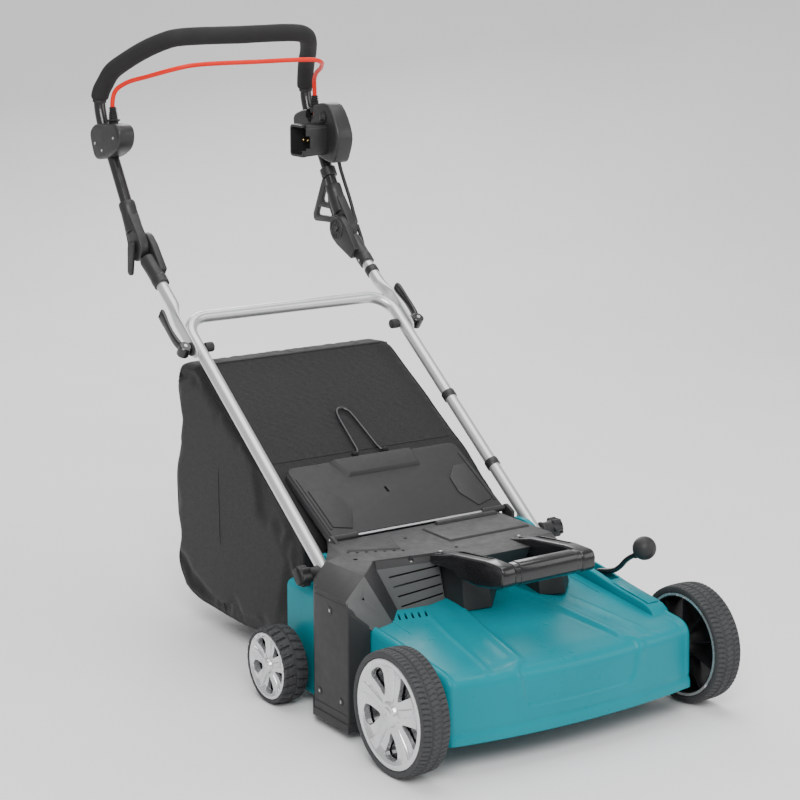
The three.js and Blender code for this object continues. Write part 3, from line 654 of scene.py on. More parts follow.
def clean(ob, ang=1.5):
    bm = bmesh.new()
    bm.from_mesh(ob.data)
    bmesh.ops.remove_doubles(bm, verts=list(bm.verts), dist=2e-5)
    bmesh.ops.dissolve_limit(bm, angle_limit=math.radians(ang), verts=list(bm.verts), edges=list(bm.edges))
    bm.to_mesh(ob.data)
    bm.free()
    return ob


def cyl(c0, c1, r, mat="black", seg=32):
    a, b = Vector(c0), Vector(c1)
    return lathe_on("c", [(r, 0), (r, (b - a).length)], mat, None, a, b, seg)


def bx(x0, x1, y0, y1, z0, z1, mat="black"):
    vs = [(x, y, z) for x in (x0, x1) for y in (y0, y1) for z in (z0, z1)]
    return make("bx", vs, [[0, 1, 3, 2], [4, 6, 7, 5], [0, 4, 5, 1], [2, 3, 7, 6], [0, 2, 6, 4], [1, 5, 7, 3]], mat)


def finish_part(ob, name, body, replaces=()):
    ob.name = name
    if replaces:
        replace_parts(ob, *replaces)
    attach(ob, body)
    return ob


# ------------------------------------------------------------------ deck
FRONT = lambda x: -83.0 + 21.0 * min(1, abs(x) / 234.0) ** 2
TOPY = [-90, -60, -30, 120, 240, 415]
TOPZ = [150, 157, 163, 178, 190, 196]


def crest(y):
    return np.interp(y, [-37, 83, 203, 300], [103, 84, 60, 50])


def boss_h(y):
    return np.interp(y, [-4, 10, 30, 110, 170, 205, 236, 247], [0, 6.5, 8.5, 9.5, 12.0, 12.5, 11, 0])


def deck_features(X, Y, Z, S, part):
    """X, Y, Z on the plain skin; returns the height over it along its outward normal"""
    ax = np.abs(X)
    h = np.zeros_like(X)
    # front width of the sunk panel against distance up the skin
    top = sm(Y, -70, -45)
    w_front = np.interp(Z, [92, 103, 160], [104, 109, 119])
    w = w_front * (1 - top) + (crest(Y) - 7) * top
    d1 = w - ax
    d2 = np.where(top > 0.5, 99.0, Z - 91.5)
    # rounded corner
    r = 13.0
    q1, q2 = r - d1, r - d2
    dd = np.where((q1 > 0) & (q2 > 0), r - np.hypot(np.maximum(q1, 0), np.maximum(q2, 0)), np.minimum(d1, d2))
    m = sm(dd, -1.6, 2.2)
    h -= m * 2.8
    # ridge along each side of the panel, running out over the nose
    c = crest(Y) * top + (w_front + 9) * (1 - top)
    rh = 4.4 * top + 2.2 * (1 - top) * sm(Z, 100, 150)
    h += rh * np.exp(-((ax - c) / 8.5) ** 2)
    # lower shoulders outside the ridges
    sh = sm(ax, c + 12, c + 46) * (1 - sm(ax, 226, 238)) * top
    h -= sh * 5.0 * (1 - sm(Y, 215, 260))
    # long shallow crease of the shoulder
    c2 = c + 58
    h += 1.6 * np.exp(-((ax - c2) / 5.0) ** 2) * top * (1 - sm(Y, 150, 215))
    # lip along the lower front edge
    if part == "front":
        h += 2.0 * (1 - sm(Z, 61, 66)) - 1.1 * np.exp(-((Z - 69.5) / 2.0) ** 2)
    return h


def build_deck():
    NX, NF, NN, NT = 190, 34, 18, 168
    u = np.linspace(-1, 1, NX)
    xs = 245.0 * np.sin(u * math.pi / 2 * 0.62) / math.sin(math.pi / 2 * 0.62)
    verts, rows = [], []
    RY, RZ, RS = 27.0, 23.0, 13.0
    P = np.zeros((NX, NF + NN + NT, 3))
    for i, x in enumerate(xs):
        y0 = FRONT(x)
        c = max(0.0, (abs(x) - (245 - 13)) / 13.0)
        y0 += 15.0 * (1 - math.sqrt(max(0.0, 1 - c * c)))
        t = max(0.0, (abs(x) - (245 - RS)) / RS)
        drop = RS * 0.8 * (1 - math.sqrt(max(0.0, 1 - t * t)))
        zt = float(np.interp(y0 + RY, TOPY, TOPZ)) - drop
        pts = []
        for k in range(NF):
            z = 50 + (zt - RZ - 50) * k / NF
            pts.append((x, y0 + (z - 50) * 0.035, z, 0))
        yb = y0 + (zt - RZ - 50) * 0.035
        for k in range(NN):
            a = math.pi / 2 * k / NN
            pts.append((x, yb + (RY) * (1 - math.cos(a)), zt - RZ + RZ * math.sin(a), 0))
        ys = np.linspace(yb + RY, 415, NT)
        for y in ys:
            pts.append((x, y, float(np.interp(y, TOPY, TOPZ)) - drop, 0))
        P[i] = np.array(pts)[:, :3]
    # smooth the skin along its length so that the top has no hard kinks
    for _ in range(6):
        Q = P.copy()
        Q[:, 1:-1, 2] = (P[:, :-2, 2] + 2 * P[:, 1:-1, 2] + P[:, 2:, 2]) / 4
        Q[:, 1:-1, 1] = (P[:, :-2, 1] + 2 * P[:, 1:-1, 1] + P[:, 2:, 1]) / 4
        P = Q
    du = np.gradient(P, axis=0)
    dv = np.gradient(P, axis=1)
    N = np.cross(du, dv)
    N /= np.linalg.norm(N, axis=2, keepdims=True) + 1e-9
    if N[NX // 2, -5, 2] < 0:
        N = -N
    H = np.zeros(P.shape[:2])
    nf = NF + NN // 2
    H[:, :nf] = deck_features(P[:, :nf, 0], P[:, :nf, 1], P[:, :nf, 2], None, "front")
    H[:, nf:] = deck_features(P[:, nf:, 0], P[:, nf:, 1], P[:, nf:, 2], None, "top")
    edge = 1 - sm(np.abs(P[:, :, 0]), 239, 244.8)
    P = P + N * (H * edge)[:, :, None]
    n2 = P.shape[1]
    verts = [tuple(p) for col in P for p in col]
    faces = []
    for i in range(NX - 1):
        for j in range(n2 - 1):
            a = i * n2 + j
            faces.append([a, a + 1, a + n2 + 1, a + n2])
    base = len(verts)
    # side walls
    for s, col in ((-1, 0), (1, NX - 1)):
        path = [col * n2 + j for j in range(n2)]
        low = [(415, 40), (400, 17), (300, 15), (150, 16), (120, 32), (90, 49), (60, 50)]
        b0 = len(verts)
        for y, z in low:
            verts.append((s * 245, y, z))
        ring = path + [b0 + k for k in range(len(low))]
        faces.append(ring if s > 0 else ring[::-1])
        if s < 0:
            lb = b0
        else:
            rb = b0
    # rear wall
    back = [i * n2 + n2 - 1 for i in range(NX)]
    faces.append(back + [rb, lb])
    ob = make("deck_skin", verts, faces, "teal")
    m = ob.modifiers.new("s", "SOLIDIFY")
    m.thickness, m.offset, m.use_even_offset = 0.0036, -1, False
    apply_mods(ob)
    cut = [bx(-168, 168, 396, 430, 80, 180, "teal"), bx(218.6, 237.4, 122.6, 231.4, 150, 230, "teal"), bx(-198, -50, 208, 285, 160, 230, "teal")]
    for s in (-1, 1):
        cut.append(cyl((s * 232, 60, 118), (s * 256, 60, 118), 6.9, "teal", 24))
        cut.append(cyl((s * 232, 376, 65.2), (s * 256, 376, 65.2), 6.7, "teal", 24))
    cut.append(cyl((234, 160, 95), (256, 160, 95), 4.6, "teal", 20))
    cut.append(cyl((-256, 205, 78), (-232, 205, 78), 14, "teal", 24))
    # vent slots in the left shoulder, in front of the louvres
    for k in range(7):
        x = -196 + k * 11.5
        y = 188 - k * 2.5
        w = bx(-1.7, 1.7, -13 + k * 0.6, 13, -30, 40, "teal")
        w.data.transform(Matrix.Translation(M((x, y, 170))) @ Matrix.Rotation(math.radians(-24), 4, "Z") @ Matrix.Translation(-M((0, 0, 0))))
        cut.append(w)
    c0 = cut[0]
    big = join("cutters", cut)
    boolean(ob, [big])
    return ob


deck_main = build_deck()
parts = [deck_main]
for s in (-1, 1):
    X = (lambda a, b: (a, b)) if s > 0 else (lambda a, b: (-b, -a))
    parts.append(prism("w", [(114, 24), (413, 24), (413, 193), (240, 186), (118, 174), (114, 172)], *X(190, 194), "teal", None, 0.8, 2))
    ear = prism("ear", [(290, 180), (301, 218), (306, 228), (314, 237), (325, 243), (338, 246.5), (352, 247), (368, 245.5), (378, 240), (385, 229), (390, 214), (404, 184)], *X(196, 207.6), "teal", None, 2.6, 4)
    boolean(ear, [cyl((s * 190, 336, 224), (s * 214, 336, 224), 5.4, "teal", 24)])
    parts.append(ear)
    # stiffening ribs beside the ear
    for y in (312, 362):
        parts.append(prism("r", [(y, 182), (y + 4, 182), (y + 4, 214), (y, 226)], *X(188, 197), "teal", None, 0.6, 2))
    # bead along the lower edge of the side
    for y0_, y1_, z0_, z1_ in ((-30, 92, 50, 50), (92, 150, 49, 16), (150, 400, 16, 16)):
        d = 6
        parts.append(prism("bead", [(y0_, z0_), (y1_, z1_), (y1_, z1_ + d), (y0_, z0_ + d)], *X(244.2, 246.8), "teal", None, 0.7, 2))
    # axle bosses
    parts.append(lathe("boss", [(7.0, 243.0), (7.0, 248.2), (10.5, 248.2), (13, 246.6), (14.5, 243.0)] if s > 0 else [(14.5, -243.0), (13, -246.6), (10.5, -248.2), (7.0, -248.2), (7.0, -243.0)], "teal", None, 36, "X", (0, 376, 65.2), closed=True))
    parts.append(lathe("boss", [(7.2, 243.0), (7.2, 248.2), (12, 248.2), (15, 246.4), (16.5, 243.0)] if s > 0 else [(16.5, -243.0), (15, -246.4), (12, -248.2), (7.2, -248.2), (7.2, -243.0)], "teal", None, 36, "X", (0, 60, 118), closed=True))
isl = prism("isl", [(-6, 156), (4, 168), (14, 173.5), (30, 177), (70, 181.5), (110, 187), (150, 194), (180, 198.5), (205, 201), (234, 202), (241, 199), (247, 188), (120, 166), (10, 154)], 208.5, 243.6, "teal", None, 3.4, 5)
boolean(isl, [bx(219, 237, 123, 231, 150, 230, "teal")])
isl_c = prism("isl2", [(20, 176.2), (112, 187.2), (112, 188.6), (24, 178.2)], 214, 238, "teal", None, 0.5, 2)
parts += [isl, isl_c]
baf = prism("baf", [(114, 34), (118, 34), (118, 158), (114, 157)], -191, 191, "teal", None, 0.6, 2)
parts.append(baf)
for x in (-212, -150, -100, -50, 0, 50, 100, 150):
    parts.append(prism("rib", [(-46, 100), (-20, 126), (114, 136), (114, 160), (-30, 145), (-48, 136)], x - 1.5, x + 1.5, "teal", None, 0.5, 2))
for y in (20,):
    parts.append(prism("rib", [(y, 128), (y + 3, 128), (y + 3, 150), (y, 150)], -236, 205, "teal", None, 0.5, 2))
deck = join("deck_visual", parts)
sharp(deck, 34)
finish_part(deck, "deck_visual", "deck", ["deck_shell"])

# ------------------------------------------------------------------ motor cover
# rear saddle, intake block, belt tower shoulder and the two feet under the carry handle
A = hull([(-246, 292, 196), (-246, 292, 250), (-214, 292, 262), (-192, 300, 262), (-192, 366, 262), (-192, 366, 200), (-190, 240, 262), (-70, 232, 262), (-70, 206, 188),
          (157, 206, 262), (157, 366, 262), (176, 366, 236), (176, 366, 200), (176, 214, 236), (176, 200, 190), (30, 193, 190), (30, 206, 262), (-190, 240, 196)])
B = hull([(-188, 227, 250), (-76, 212, 250), (-70, 197, 176), (-155, 204, 170), (-182, 240, 262), (-72, 228, 262), (-72, 260, 190), (-182, 260, 190), (-72, 260, 262), (-182, 260, 262)])
C = hull([(-285, 154.5, 212), (-221, 154.5, 158), (-190, 166, 168), (-158, 203, 172), (-236, 190, 258), (-190, 226, 251.5), (-290, 160.5, 231.5), (-290, 254, 231.5), (-264, 297, 231.5),
          (-250, 282, 262), (-214, 292, 262), (-192, 292, 262), (-186, 240, 262), (-250, 292, 233), (-246, 292, 196), (-186, 260, 190), (-246, 157, 178), (-246, 176.5, 231), (-210, 214, 259.5)])
Fa = hull([(-70, 146, 180), (-17, 141, 180), (27, 190, 184), (-68, 214, 186), (-66, 162, 258), (-22, 158, 258), (22, 204, 262), (-68, 236, 262), (27, 236, 262), (27, 236, 188)])
Fb = hull([(98, 188, 184), (87, 148, 180), (129, 133, 179), (168, 172, 183), (176, 206, 186), (92, 166, 258), (124, 152, 256), (152, 186, 256), (157, 210, 262), (98, 206, 262), (98, 236, 262), (176, 236, 190), (98, 236, 188), (157, 236, 262)])
cover = A
boolean(cover, [B, C, Fa, Fb], "UNION")
# hollow so that the motor and the belt have their room
boolean(cover, [hull([(-186, 232, 175), (-52, 232, 175), (-186, 232, 250), (-52, 232, 250), (-186, 288, 175), (-52, 288, 175), (-186, 288, 256), (-52, 288, 256), (-150, 214, 214), (-90, 212, 214)]),
                hull([(-286, 164, 170), (-286, 164, 222), (-247, 164, 170), (-247, 172, 228), (-286, 252, 170), (-286, 252, 228), (-263, 290, 170), (-263, 290, 228), (-247, 290, 170), (-247, 290, 244), (-250, 230, 240)])])
clean(cover)
bevel(cover, 2.6, 3, 16)
apply_mods(cover, 30)
# the cutters below carry the near-black material: painted shade on the walls of the cuts
cuts = []
# louvre slits follow the intake face
for k in range(4):
    f = 0.10 + 0.205 * k
    tl = Vector((-188, 227, 250)).lerp(Vector((-155, 204, 170)), f + 0.10)
    tr = Vector((-76, 212, 250)).lerp(Vector((-70, 197, 176)), f)
    a = tl.lerp(tr, 0.13 if k < 3 else 0.10)
    b = tl.lerp(tr, 0.985)
    n = (tr - tl).cross(Vector((0, 0.25, 1))).normalized()
    if n.y > 0:
        n = -n
    up = Vector((0, 0.28, 1)).normalized()
    vs = []
    for o in (-9, 6):
        for q, w in ((a, -1.35), (b, -1.35), (b, 1.35), (a, 1.35)):
            vs.append(tuple(q + n * o + up * w))
    cuts.append(make("cut", vs, [[0, 1, 2, 3], [7, 6, 5, 4], [0, 4, 5, 1], [1, 5, 6, 2], [2, 6, 7, 3], [3, 7, 4, 0]], "void_painted_shade"))
# screw wells on the top
for x, y, z, r in ((-121, 226, 268, 4.6), (-70, 318, 270, 3.4), (150, 300, 270, 4.0), (-206, 262, 270, 4.2), (-28, 228, 270, 3.4)):
    cuts.append(cyl((x, y, z - 16), (x, y, z), r, "void_painted_shade", 20))
# scalloped grip holes in front of the raised pad
for k in range(7):
    t = k / 6
    p = Vector((-196, 300, 266)).lerp(Vector((-112, 262, 266)), t)
    cuts.append(cyl((p.x, p.y, 255), (p.x, p.y, 270), 3.0, "void_painted_shade", 12))
# parting recess between the intake block and the handle foot
cuts.append(hull([(-70, 232, 268), (-66, 232, 268), (-70, 150, 268), (-66, 150, 268), (-71, 232, 190), (-66.5, 232, 190), (-71, 150, 190), (-66.5, 150, 190)], "void_painted_shade"))
boolean(cover, cuts, "DIFFERENCE", 30)
# painted highlight: the intake face and the tower's slanted facet catch the light, so their faces get a paler plastic
cover.data.materials.append(MT["painted_highlight_grey"])
gi = len(cover.data.materials) - 1
for pl in (((-188, 227, 250), (-76, 212, 250), (-70, 197, 176)), ((-285, 154.5, 212), (-221, 154.5, 158), (-236, 190, 258))):
    a_, b_, c_ = (M(q) for q in pl)
    nn_ = (b_ - a_).cross(c_ - a_).normalized()
    for f_ in cover.data.polygons:
        if abs(nn_.dot(f_.center - a_)) < 0.0016 and abs(nn_.dot(f_.normal)) > 0.985 and (f_.center - (a_ + b_ + c_) / 3).length < 0.085:
            f_.material_index = gi
# raised pad and ledges
pad = hull([(-196, 306, 261), (-112, 267, 261), (-84, 352, 261), (-150, 352, 261), (-192, 308, 264.5), (-112, 271, 264.5), (-88, 349, 264.5), (-148, 349, 264.5)], "black")
led1 = hull([(-20, 258, 261), (-20, 346, 261), (156, 346, 261), (150, 258, 261), (-16, 262, 265), (-16, 343, 265), (152, 343, 265), (146, 262, 265)], "black")
led2 = hull([(20, 352, 261), (20, 364, 261), (150, 364, 261), (150, 352, 261), (22, 354, 267), (22, 363, 267), (148, 363, 267), (148, 354, 267)], "black")
lugs = []
for s in (-1, 1):
    X = (lambda a, b: (a, b)) if s > 0 else (lambda a, b: (-b, -a))
    lug = prism("lug", [(352, 240), (382, 246), (383, 262), (379, 269), (372, 271), (362, 267), (352, 262)], *X(179, 186), "black", None, 1.5, 3)
    boolean(lug, [cyl((s * 170, 374.5, 263.7), (s * 190, 374.5, 263.7), 2.9)])
    lugs.append(lug)
for o in (pad, led1, led2):
    bevel(o, 1.3, 3, 20)
    apply_mods(o, 30)
for k, (x, y, z) in enumerate(((-121, 226, 253), (-206, 262, 255), (150, 300, 255), (-28, 228, 255), (-70, 318, 256))):
    screw("cover_screw_%d" % k, (x, y, z), (0, 0, 1), 3.2 if k < 3 else 2.6, "deck")
cover = join("motor_cover_visual", [cover, pad, led1, led2] + lugs)
finish_part(cover, "motor_cover_visual", "deck", ["motor_cover"])

# belt tower cover with its skirt and ribs; the intake louvres and the tower's slanted facet catch the light and are
# painted lighter on the motor cover above
tower = hull([(-290, 154, 14), (-246, 154, 14), (-246, 300, 14), (-264, 300, 14), (-290, 256, 14), (-290, 154, 216), (-246, 154, 179), (-290, 160.5, 232), (-246, 175.8, 232), (-246, 300, 232), (-264, 300, 232), (-290, 256, 232)])
bevel(tower, 3.2, 4, 20)
apply_mods(tower)
skirt = hull([(-293, 151, 14), (-246, 151, 14), (-246, 303, 14), (-265, 303, 14), (-293, 257, 14), (-292, 152, 28), (-246, 152, 28), (-246, 302, 28), (-264.5, 302, 28), (-292, 256.6, 28)])
bevel(skirt, 1.6, 3, 20)
apply_mods(skirt)
boolean(tower, [skirt], "UNION")
boolean(tower, [hull([(-286.5, 158, 17), (-240, 158, 17), (-240, 296, 17), (-263, 296, 17), (-286.5, 254.5, 17), (-286.5, 158, 240), (-240, 158, 240), (-240, 296, 240), (-263, 296, 240), (-286.5, 254.5, 240)])])
tb = [tower]
# moulded ribs at the foot and a seam under the shoulder
for z in (40, 222):
    tb.append(hull([(-290.9, 160, z), (-290.9, 252, z), (-289, 160, z), (-289, 252, z), (-290.9, 160, z + 1.6), (-290.9, 252, z + 1.6), (-289, 160, z + 1.6), (-289, 252, z + 1.6)]))
tower = join("belt_cover_visual", tb)
sharp(tower, 30)
finish_part(tower, "belt_cover_visual", "deck", ["belt_cover"])
for k, (y, z) in enumerate(((176, 60), (240, 60), (208, 205))):
    lathe("tower_bolt_ring_%d" % k, [(3.1, -291.4), (6.4, -291.4), (7.2, -290.6), (7.2, -289.0), (3.1, -289.0)], "black", "deck", 28, "X", (0, y, z), closed=True)
    screw("tower_bolt_%d" % k, (-289.9, y, z), (-1, 0, 0), 3.0, "deck")

# ------------------------------------------------------------------ carry handle
rail = [(14, 257), (9.5, 264), (9, 280), (13, 288.5), (20, 291.5), (60, 291.5), (150, 281), (206, 266), (214, 263), (214, 250), (150, 252), (120, 243), (80, 243), (40, 250)]
ch = []
for s in (-1, 1):
    X = (lambda a, b: (a, b)) if s > 0 else (lambda a, b: (-b, -a))
    r_ = prism("rail", rail, *X(66, 93), "gloss", None, 4.2, 5)
    boolean(r_, [hull([(s * 71, 60, 287.5), (s * 88, 60, 289), (s * 71, 190, 267), (s * 88, 190, 268), (s * 71, 60, 300), (s * 88, 60, 300), (s * 71, 190, 300), (s * 88, 190, 300)], "gloss")])
    tr = hull([(s * 71.4, 61, 284), (s * 87.6, 61, 284), (s * 71.4, 188, 262), (s * 87.6, 188, 262), (s * 71.4, 61, 290.6), (s * 87.6, 61, 290.6), (s * 71.4, 188, 273.6), (s * 87.6, 188, 273.6)], "black")
    bevel(tr, 1.2, 3, 20)
    apply_mods(tr)
    ch += [r_, tr]
bar = prism("bar", [(11, 262), (9.6, 267), (9.6, 281), (13, 288), (19, 291.5), (33, 291.5), (38, 286), (38, 268), (34, 260), (18, 257)], -67, 67, "gloss", None, 2.0, 4)
ch.append(bar)
# rear tray wall between the rails
tray = hull([(-66, 146, 268), (66, 146, 268), (-66, 212, 266), (66, 212, 266), (-66, 160, 243), (66, 160, 243), (-66, 212, 243), (66, 212, 243)], "black")
bevel(tray, 2.0, 3, 20)
apply_mods(tray)
ch.append(tray)
carry = join("carry_handle_visual", ch)
finish_part(carry, "carry_handle_visual", "deck", ["carry_handle"])
grip = prism("carry_grip_visual", [(9.6, 262), (8.0, 268), (8.0, 281), (11.5, 289.5), (18.5, 293), (33, 293), (39.5, 288), (39.5, 267), (35, 258.5), (17, 255.5)], -57, 57, "gloss", None, 2.4, 4)
boolean(grip, [prism("b", [(12.0, 262.5), (10.6, 267), (10.6, 281), (13.8, 287.2), (19.4, 290.4), (32.6, 290.4), (37, 285.6), (37, 268.3), (33.4, 261.1), (18, 258.2)], -70, 70, "gloss", None, 0)])
gl = [grip]
gl_ = []
for x in (-57, 57):
    gl_.append(lathe("seam", [(0.1, 0), (0.2, 0)], "void_painted_shade", None, 8, "X", (x, 20, 275)))
for o in gl_:
    D.objects.remove(o)
finish_part(grip, "carry_grip_visual", "deck", ["carry_grip"])
for k, (x, y, z) in enumerate(((-80, 200, 270.5), (80, 200, 270.5))):
    screw("rail_screw_%d" % k, (x, y, z), (0, 0.2, 1), 3.4, "deck")

# ------------------------------------------------------------------ wheels
def tyre_mesh(name, x, y, z, R, W, chunky, body, node):
    h = W / 2
    ri = R * 0.876
    seg = 360 if not chunky else 288
    prof = [(ri + 0.2, -h + 2.2), (ri + 1.2, -h + 0.6), (ri + 3.0, -h), (R - 5.2, -h), (R - 3.2, -h + 0.5)]
    n = 26
    for k in range(n + 1):
        t = -1 + 2 * k / n
        prof.append((R - 1.6 * abs(t) ** 3 - 0.1, t * (h - 1.6)))
    prof += [(R - 3.2, h - 0.5), (R - 5.2, h), (ri + 3.0, h), (ri + 1.2, h - 0.6), (ri + 0.2, h - 2.2)]
    vs, fs = lathe_data(prof, seg, "X", (x, y, z), closed=True)
    m = len(prof)
    P = np.array(vs)
    idx = np.arange(len(P))
    ang = (idx // m) * 2 * math.pi / seg
    k = idx % m
    lat = np.array([p[1] for p in prof])[k]
    rad = np.array([p[0] for p in prof])[k]
    tread = (k >= 5) & (k < 5 + n + 1)
    depth = np.zeros(len(P))
    if chunky:
        N = 24
        ph = (ang * N / (2 * math.pi) + lat * 0.012) % 1.0
        ph2 = (ang * N / (2 * math.pi) + 0.5 + lat * -0.012) % 1.0
        left = lat < 0
        q = np.where(left, ph, ph2)
        gr = 1 - sm(np.minimum(q, 1 - q), 0.085, 0.13)
        mid = 1 - sm(np.abs(lat), 1.6, 3.0)
        q3 = (ang * 2 * N / (2 * math.pi) + 0.25) % 1.0
        cross = (1 - sm(np.minimum(q3, 1 - q3), 0.06, 0.11)) * (np.abs(lat) > 13)
        depth = np.maximum(np.maximum(gr, mid * 0.9), cross * 0.6) * 4.0
    else:
        N = 72
        off = 0.020 * np.abs(lat)
        q = (ang * N / (2 * math.pi) + off) % 1.0
        edge_ = sm(np.abs(lat), 7.5, 9.5)
        gr = (1 - sm(np.minimum(q, 1 - q), 0.10, 0.17)) * edge_
        circ = np.maximum(1 - sm(np.abs(np.abs(lat) - 8.0), 0.8, 1.7), 0)
        q2 = (ang * N / (2 * math.pi) + 0.5 + 0.03 * lat) % 1.0
        mid = (1 - sm(np.minimum(q2, 1 - q2), 0.07, 0.13)) * (1 - edge_) * 0.75
        depth = np.maximum(np.maximum(gr, circ), mid) * 2.3
    depth = np.where(tread, depth, 0)
    # shoulder notches on the side faces
    side = (k == 3) | (k == 4) | (k == m - 4 - 0) | (k == m - 5)
    NN_ = 24 if chunky else 72
    qs = (ang * NN_ / (2 * math.pi) + (0.5 if chunky else 0)) % 1.0
    notch = (1 - sm(np.minimum(qs, 1 - qs), 0.10, 0.2)) * side * (2.2 if chunky else 1.0)
    P[:, 1] -= (depth + notch) * np.cos(ang)
    P[:, 2] -= (depth + notch) * np.sin(ang)
    ob = make(name, [tuple(p) for p in P], fs, "tyre", body, [node], 38)
    return ob


def rim_mesh(tag, x, y, z, R, W, s, body):
    h = W / 2 - 1
    ri = R * 0.876
    o = s * (h - 1)
    # dished disc: outer face profile, then back face
    pr = [(6.6, s * (h + 1.5)), (R * 0.15, s * (h + 1.5)), (R * 0.185, s * (h + 0.3)), (R * 0.21, s * (h - 3.5)), (R * 0.30, s * (h - 5.5)), (R * 0.46, s * (h - 7.5)), (R * 0.62, s * (h - 7.5)), (R * 0.73, s * (h - 5.0)),
          (R * 0.775, s * (h - 1.0)), (R * 0.80, s * (h + 0.3)), (ri - 2.2, s * (h + 0.5)), (ri - 0.6, s * (h - 0.4)), (ri - 0.4, s * (h - 2)), (ri - 0.4, -s * h), (ri - 4.5, -s * h), (ri - 5.5, s * (h - 14)), (R * 0.62, s * (h - 14.5)),
          (R * 0.30, s * (h - 13.5)), (R * 0.22, s * (h - 14)), (R * 0.20, -s * h), (6.6, -s * h)]
    vs, fs = lathe_data(pr, 120, "X", (x, y, z), closed=True)
    ob = make("rim", vs, fs, "rim")
    cuts = []
    for k in range(5):
        a = 2 * math.pi * (k + 0.5) / 5 + math.pi / 2
        pts = []
        for r, w in ((0.315, 2.5), (0.36, 6.5), (0.48, 10.5), (0.62, 14.0), (0.70, 14.5), (0.735, 11.5), (0.75, 6.0), (0.75, -6.0), (0.735, -11.5), (0.70, -14.5), (0.62, -14.0), (0.48, -10.5), (0.36, -6.5), (0.315, -2.5)):
            b = a + math.radians(w)
            pts.append((y + R * r * math.cos(b), z + R * r * math.sin(b)))
        cuts.append(prism("cut", pts, x - 60, x + 60, "rim", None, 0))
    cc_ = join("cutters", cuts)
    boolean(ob, [cc_])
    bevel(ob, 1.1, 3, 34)
    apply_mods(ob, 34)
    sp = []
    # raised rib and shallow panels on each spoke
    for k in range(5):
        a = 2 * math.pi * k / 5 + math.pi / 2
        ca, sa = math.cos(a), math.sin(a)
        pl, vv, ff = [], [], []
        st = [(0.20, 9.5, -3.5), (0.32, 8.0, -4.0), (0.46, 7.5, -4.8), (0.60, 8.6, -4.6), (0.70, 11.0, -3.0), (0.775, 14.0, -0.2)]
        for r, w, d in st:
            w = w * R / 100
            for q, e in ((-w, -5.0), (-w * 0.72, 0.0), (w * 0.72, 0.0), (w, -5.0)):
                px, py = R * r, q
                vv.append((x + s * (h + d + e * 0.9), y + px * ca - py * sa, z + px * sa + py * ca))
        n = len(st)
        for i in range(n - 1):
            for j in range(3):
                a_ = i * 4 + j
                ff.append([a_, a_ + 1, a_ + 5, a_ + 4])
            ff.append([i * 4 + 3, i * 4, i * 4 + 4, i * 4 + 7])
        ff.append([0, 1, 2, 3])
        ff.append([(n - 1) * 4 + j for j in (3, 2, 1, 0)])
        o_ = make("spoke", vv, ff, "rim")
        bevel(o_, 1.4, 3, 15)
        apply_mods(o_, 34)
        sp.append(o_)
    cap = lathe("cap", [(0.0, s * (h + 3.2)), (R * 0.07, s * (h + 3.1)), (R * 0.115, s * (h + 2.3)), (R * 0.135, s * (h + 0.9)), (R * 0.135, s * (h - 1)), (0.0, s * (h - 1))], "rim", None, 48, "X", (x, y, z))
    back = lathe("wheel_body", [(7.0, s * (h - 16.5)), (ri - 6.0, s * (h - 16.5)), (ri - 4.6, s * (h - 18)), (ri - 4.6, -s * (h - 0.6)), (ri - 6.4, -s * (h - 0.6)), (ri - 6.8, s * (h - 20)), (R * 0.34, s * (h - 21)), (R * 0.24, -s * (h - 1)), (7.0, -s * (h - 1))] [::1], "gloss", None, 96, "X", (x, y, z), closed=True)
    fins = []
    for k in range(10):
        a = 2 * math.pi * (k + 0.5) / 10
        ca, sa = math.cos(a), math.sin(a)
        vv = []
        for xx, r0, r1 in ((h - 20, R * 0.22, ri - 6.0), (-(h - 6), R * 0.22, ri - 5.6)):
            for rr_, q in ((r0, -0.9), (r1, -0.9), (r1, 0.9), (r0, 0.9)):
                vv.append((x + s * xx, y + rr_ * ca - q * sa, z + rr_ * sa + q * ca))
        fins.append(hull(vv, "gloss"))
    ob = join("rim_visual_" + tag, [ob, back] + fins + sp + [cap])
    finish_part(ob, "rim_visual_" + tag, body, ["rim_" + tag])
    # bolt in the hub, seen in the cap's middle
    lathe("hub_bolt_" + tag, [(0.0, s * (h + 4.6)), (2.6, s * (h + 4.6)), (3.2, s * (h + 4.0)), (3.2, s * (h + 2.4)), (0.0, s * (h + 2.4))], "steel", body, 6, "X", (x, y, z))
    return ob


for tag, x, y, z, R, W, s in (("front_left", -292, 0, 100, 100, 50, -1), ("front_right", 292, 0, 100, 100, 50, 1), ("rear_left", -289, 376, 65.2, 65.2, 46, -1), ("rear_right", 289, 376, 65.2, 65.2, 46, 1)):
    b = "wheel_" + tag
    tyre_mesh("tyre_visual_" + tag, x, y, z, R, W, "rear" in tag, b, "tyre_" + tag)
    rim_mesh(tag, x, y, z, R, W, s, b)

# ------------------------------------------------------------------ rear flap
flap_parts = []
HY, HZ = 374.5, 263.7


def fp(s_, off):
    return along((HY, HZ), 29, s_, -off)


def flap_plate(outline, o0, o1, w=1.6, mat="black"):
    vs, fs = [], []
    n = len(outline)
    for o in (o0, o1):
        for x, s_ in outline:
            y, z = fp(s_, o)
            vs.append((x, y, z))
    fs.append(list(range(n)))
    fs.append(list(range(n, 2 * n))[::-1])
    for i in range(n):
        j = (i + 1) % n
        fs.append([i, j, n + j, n + i])
    ob = make("plate", vs, fs, mat)
    if w:
        bevel(ob, w, 3, 25)
        apply_mods(ob, 30)
    return ob


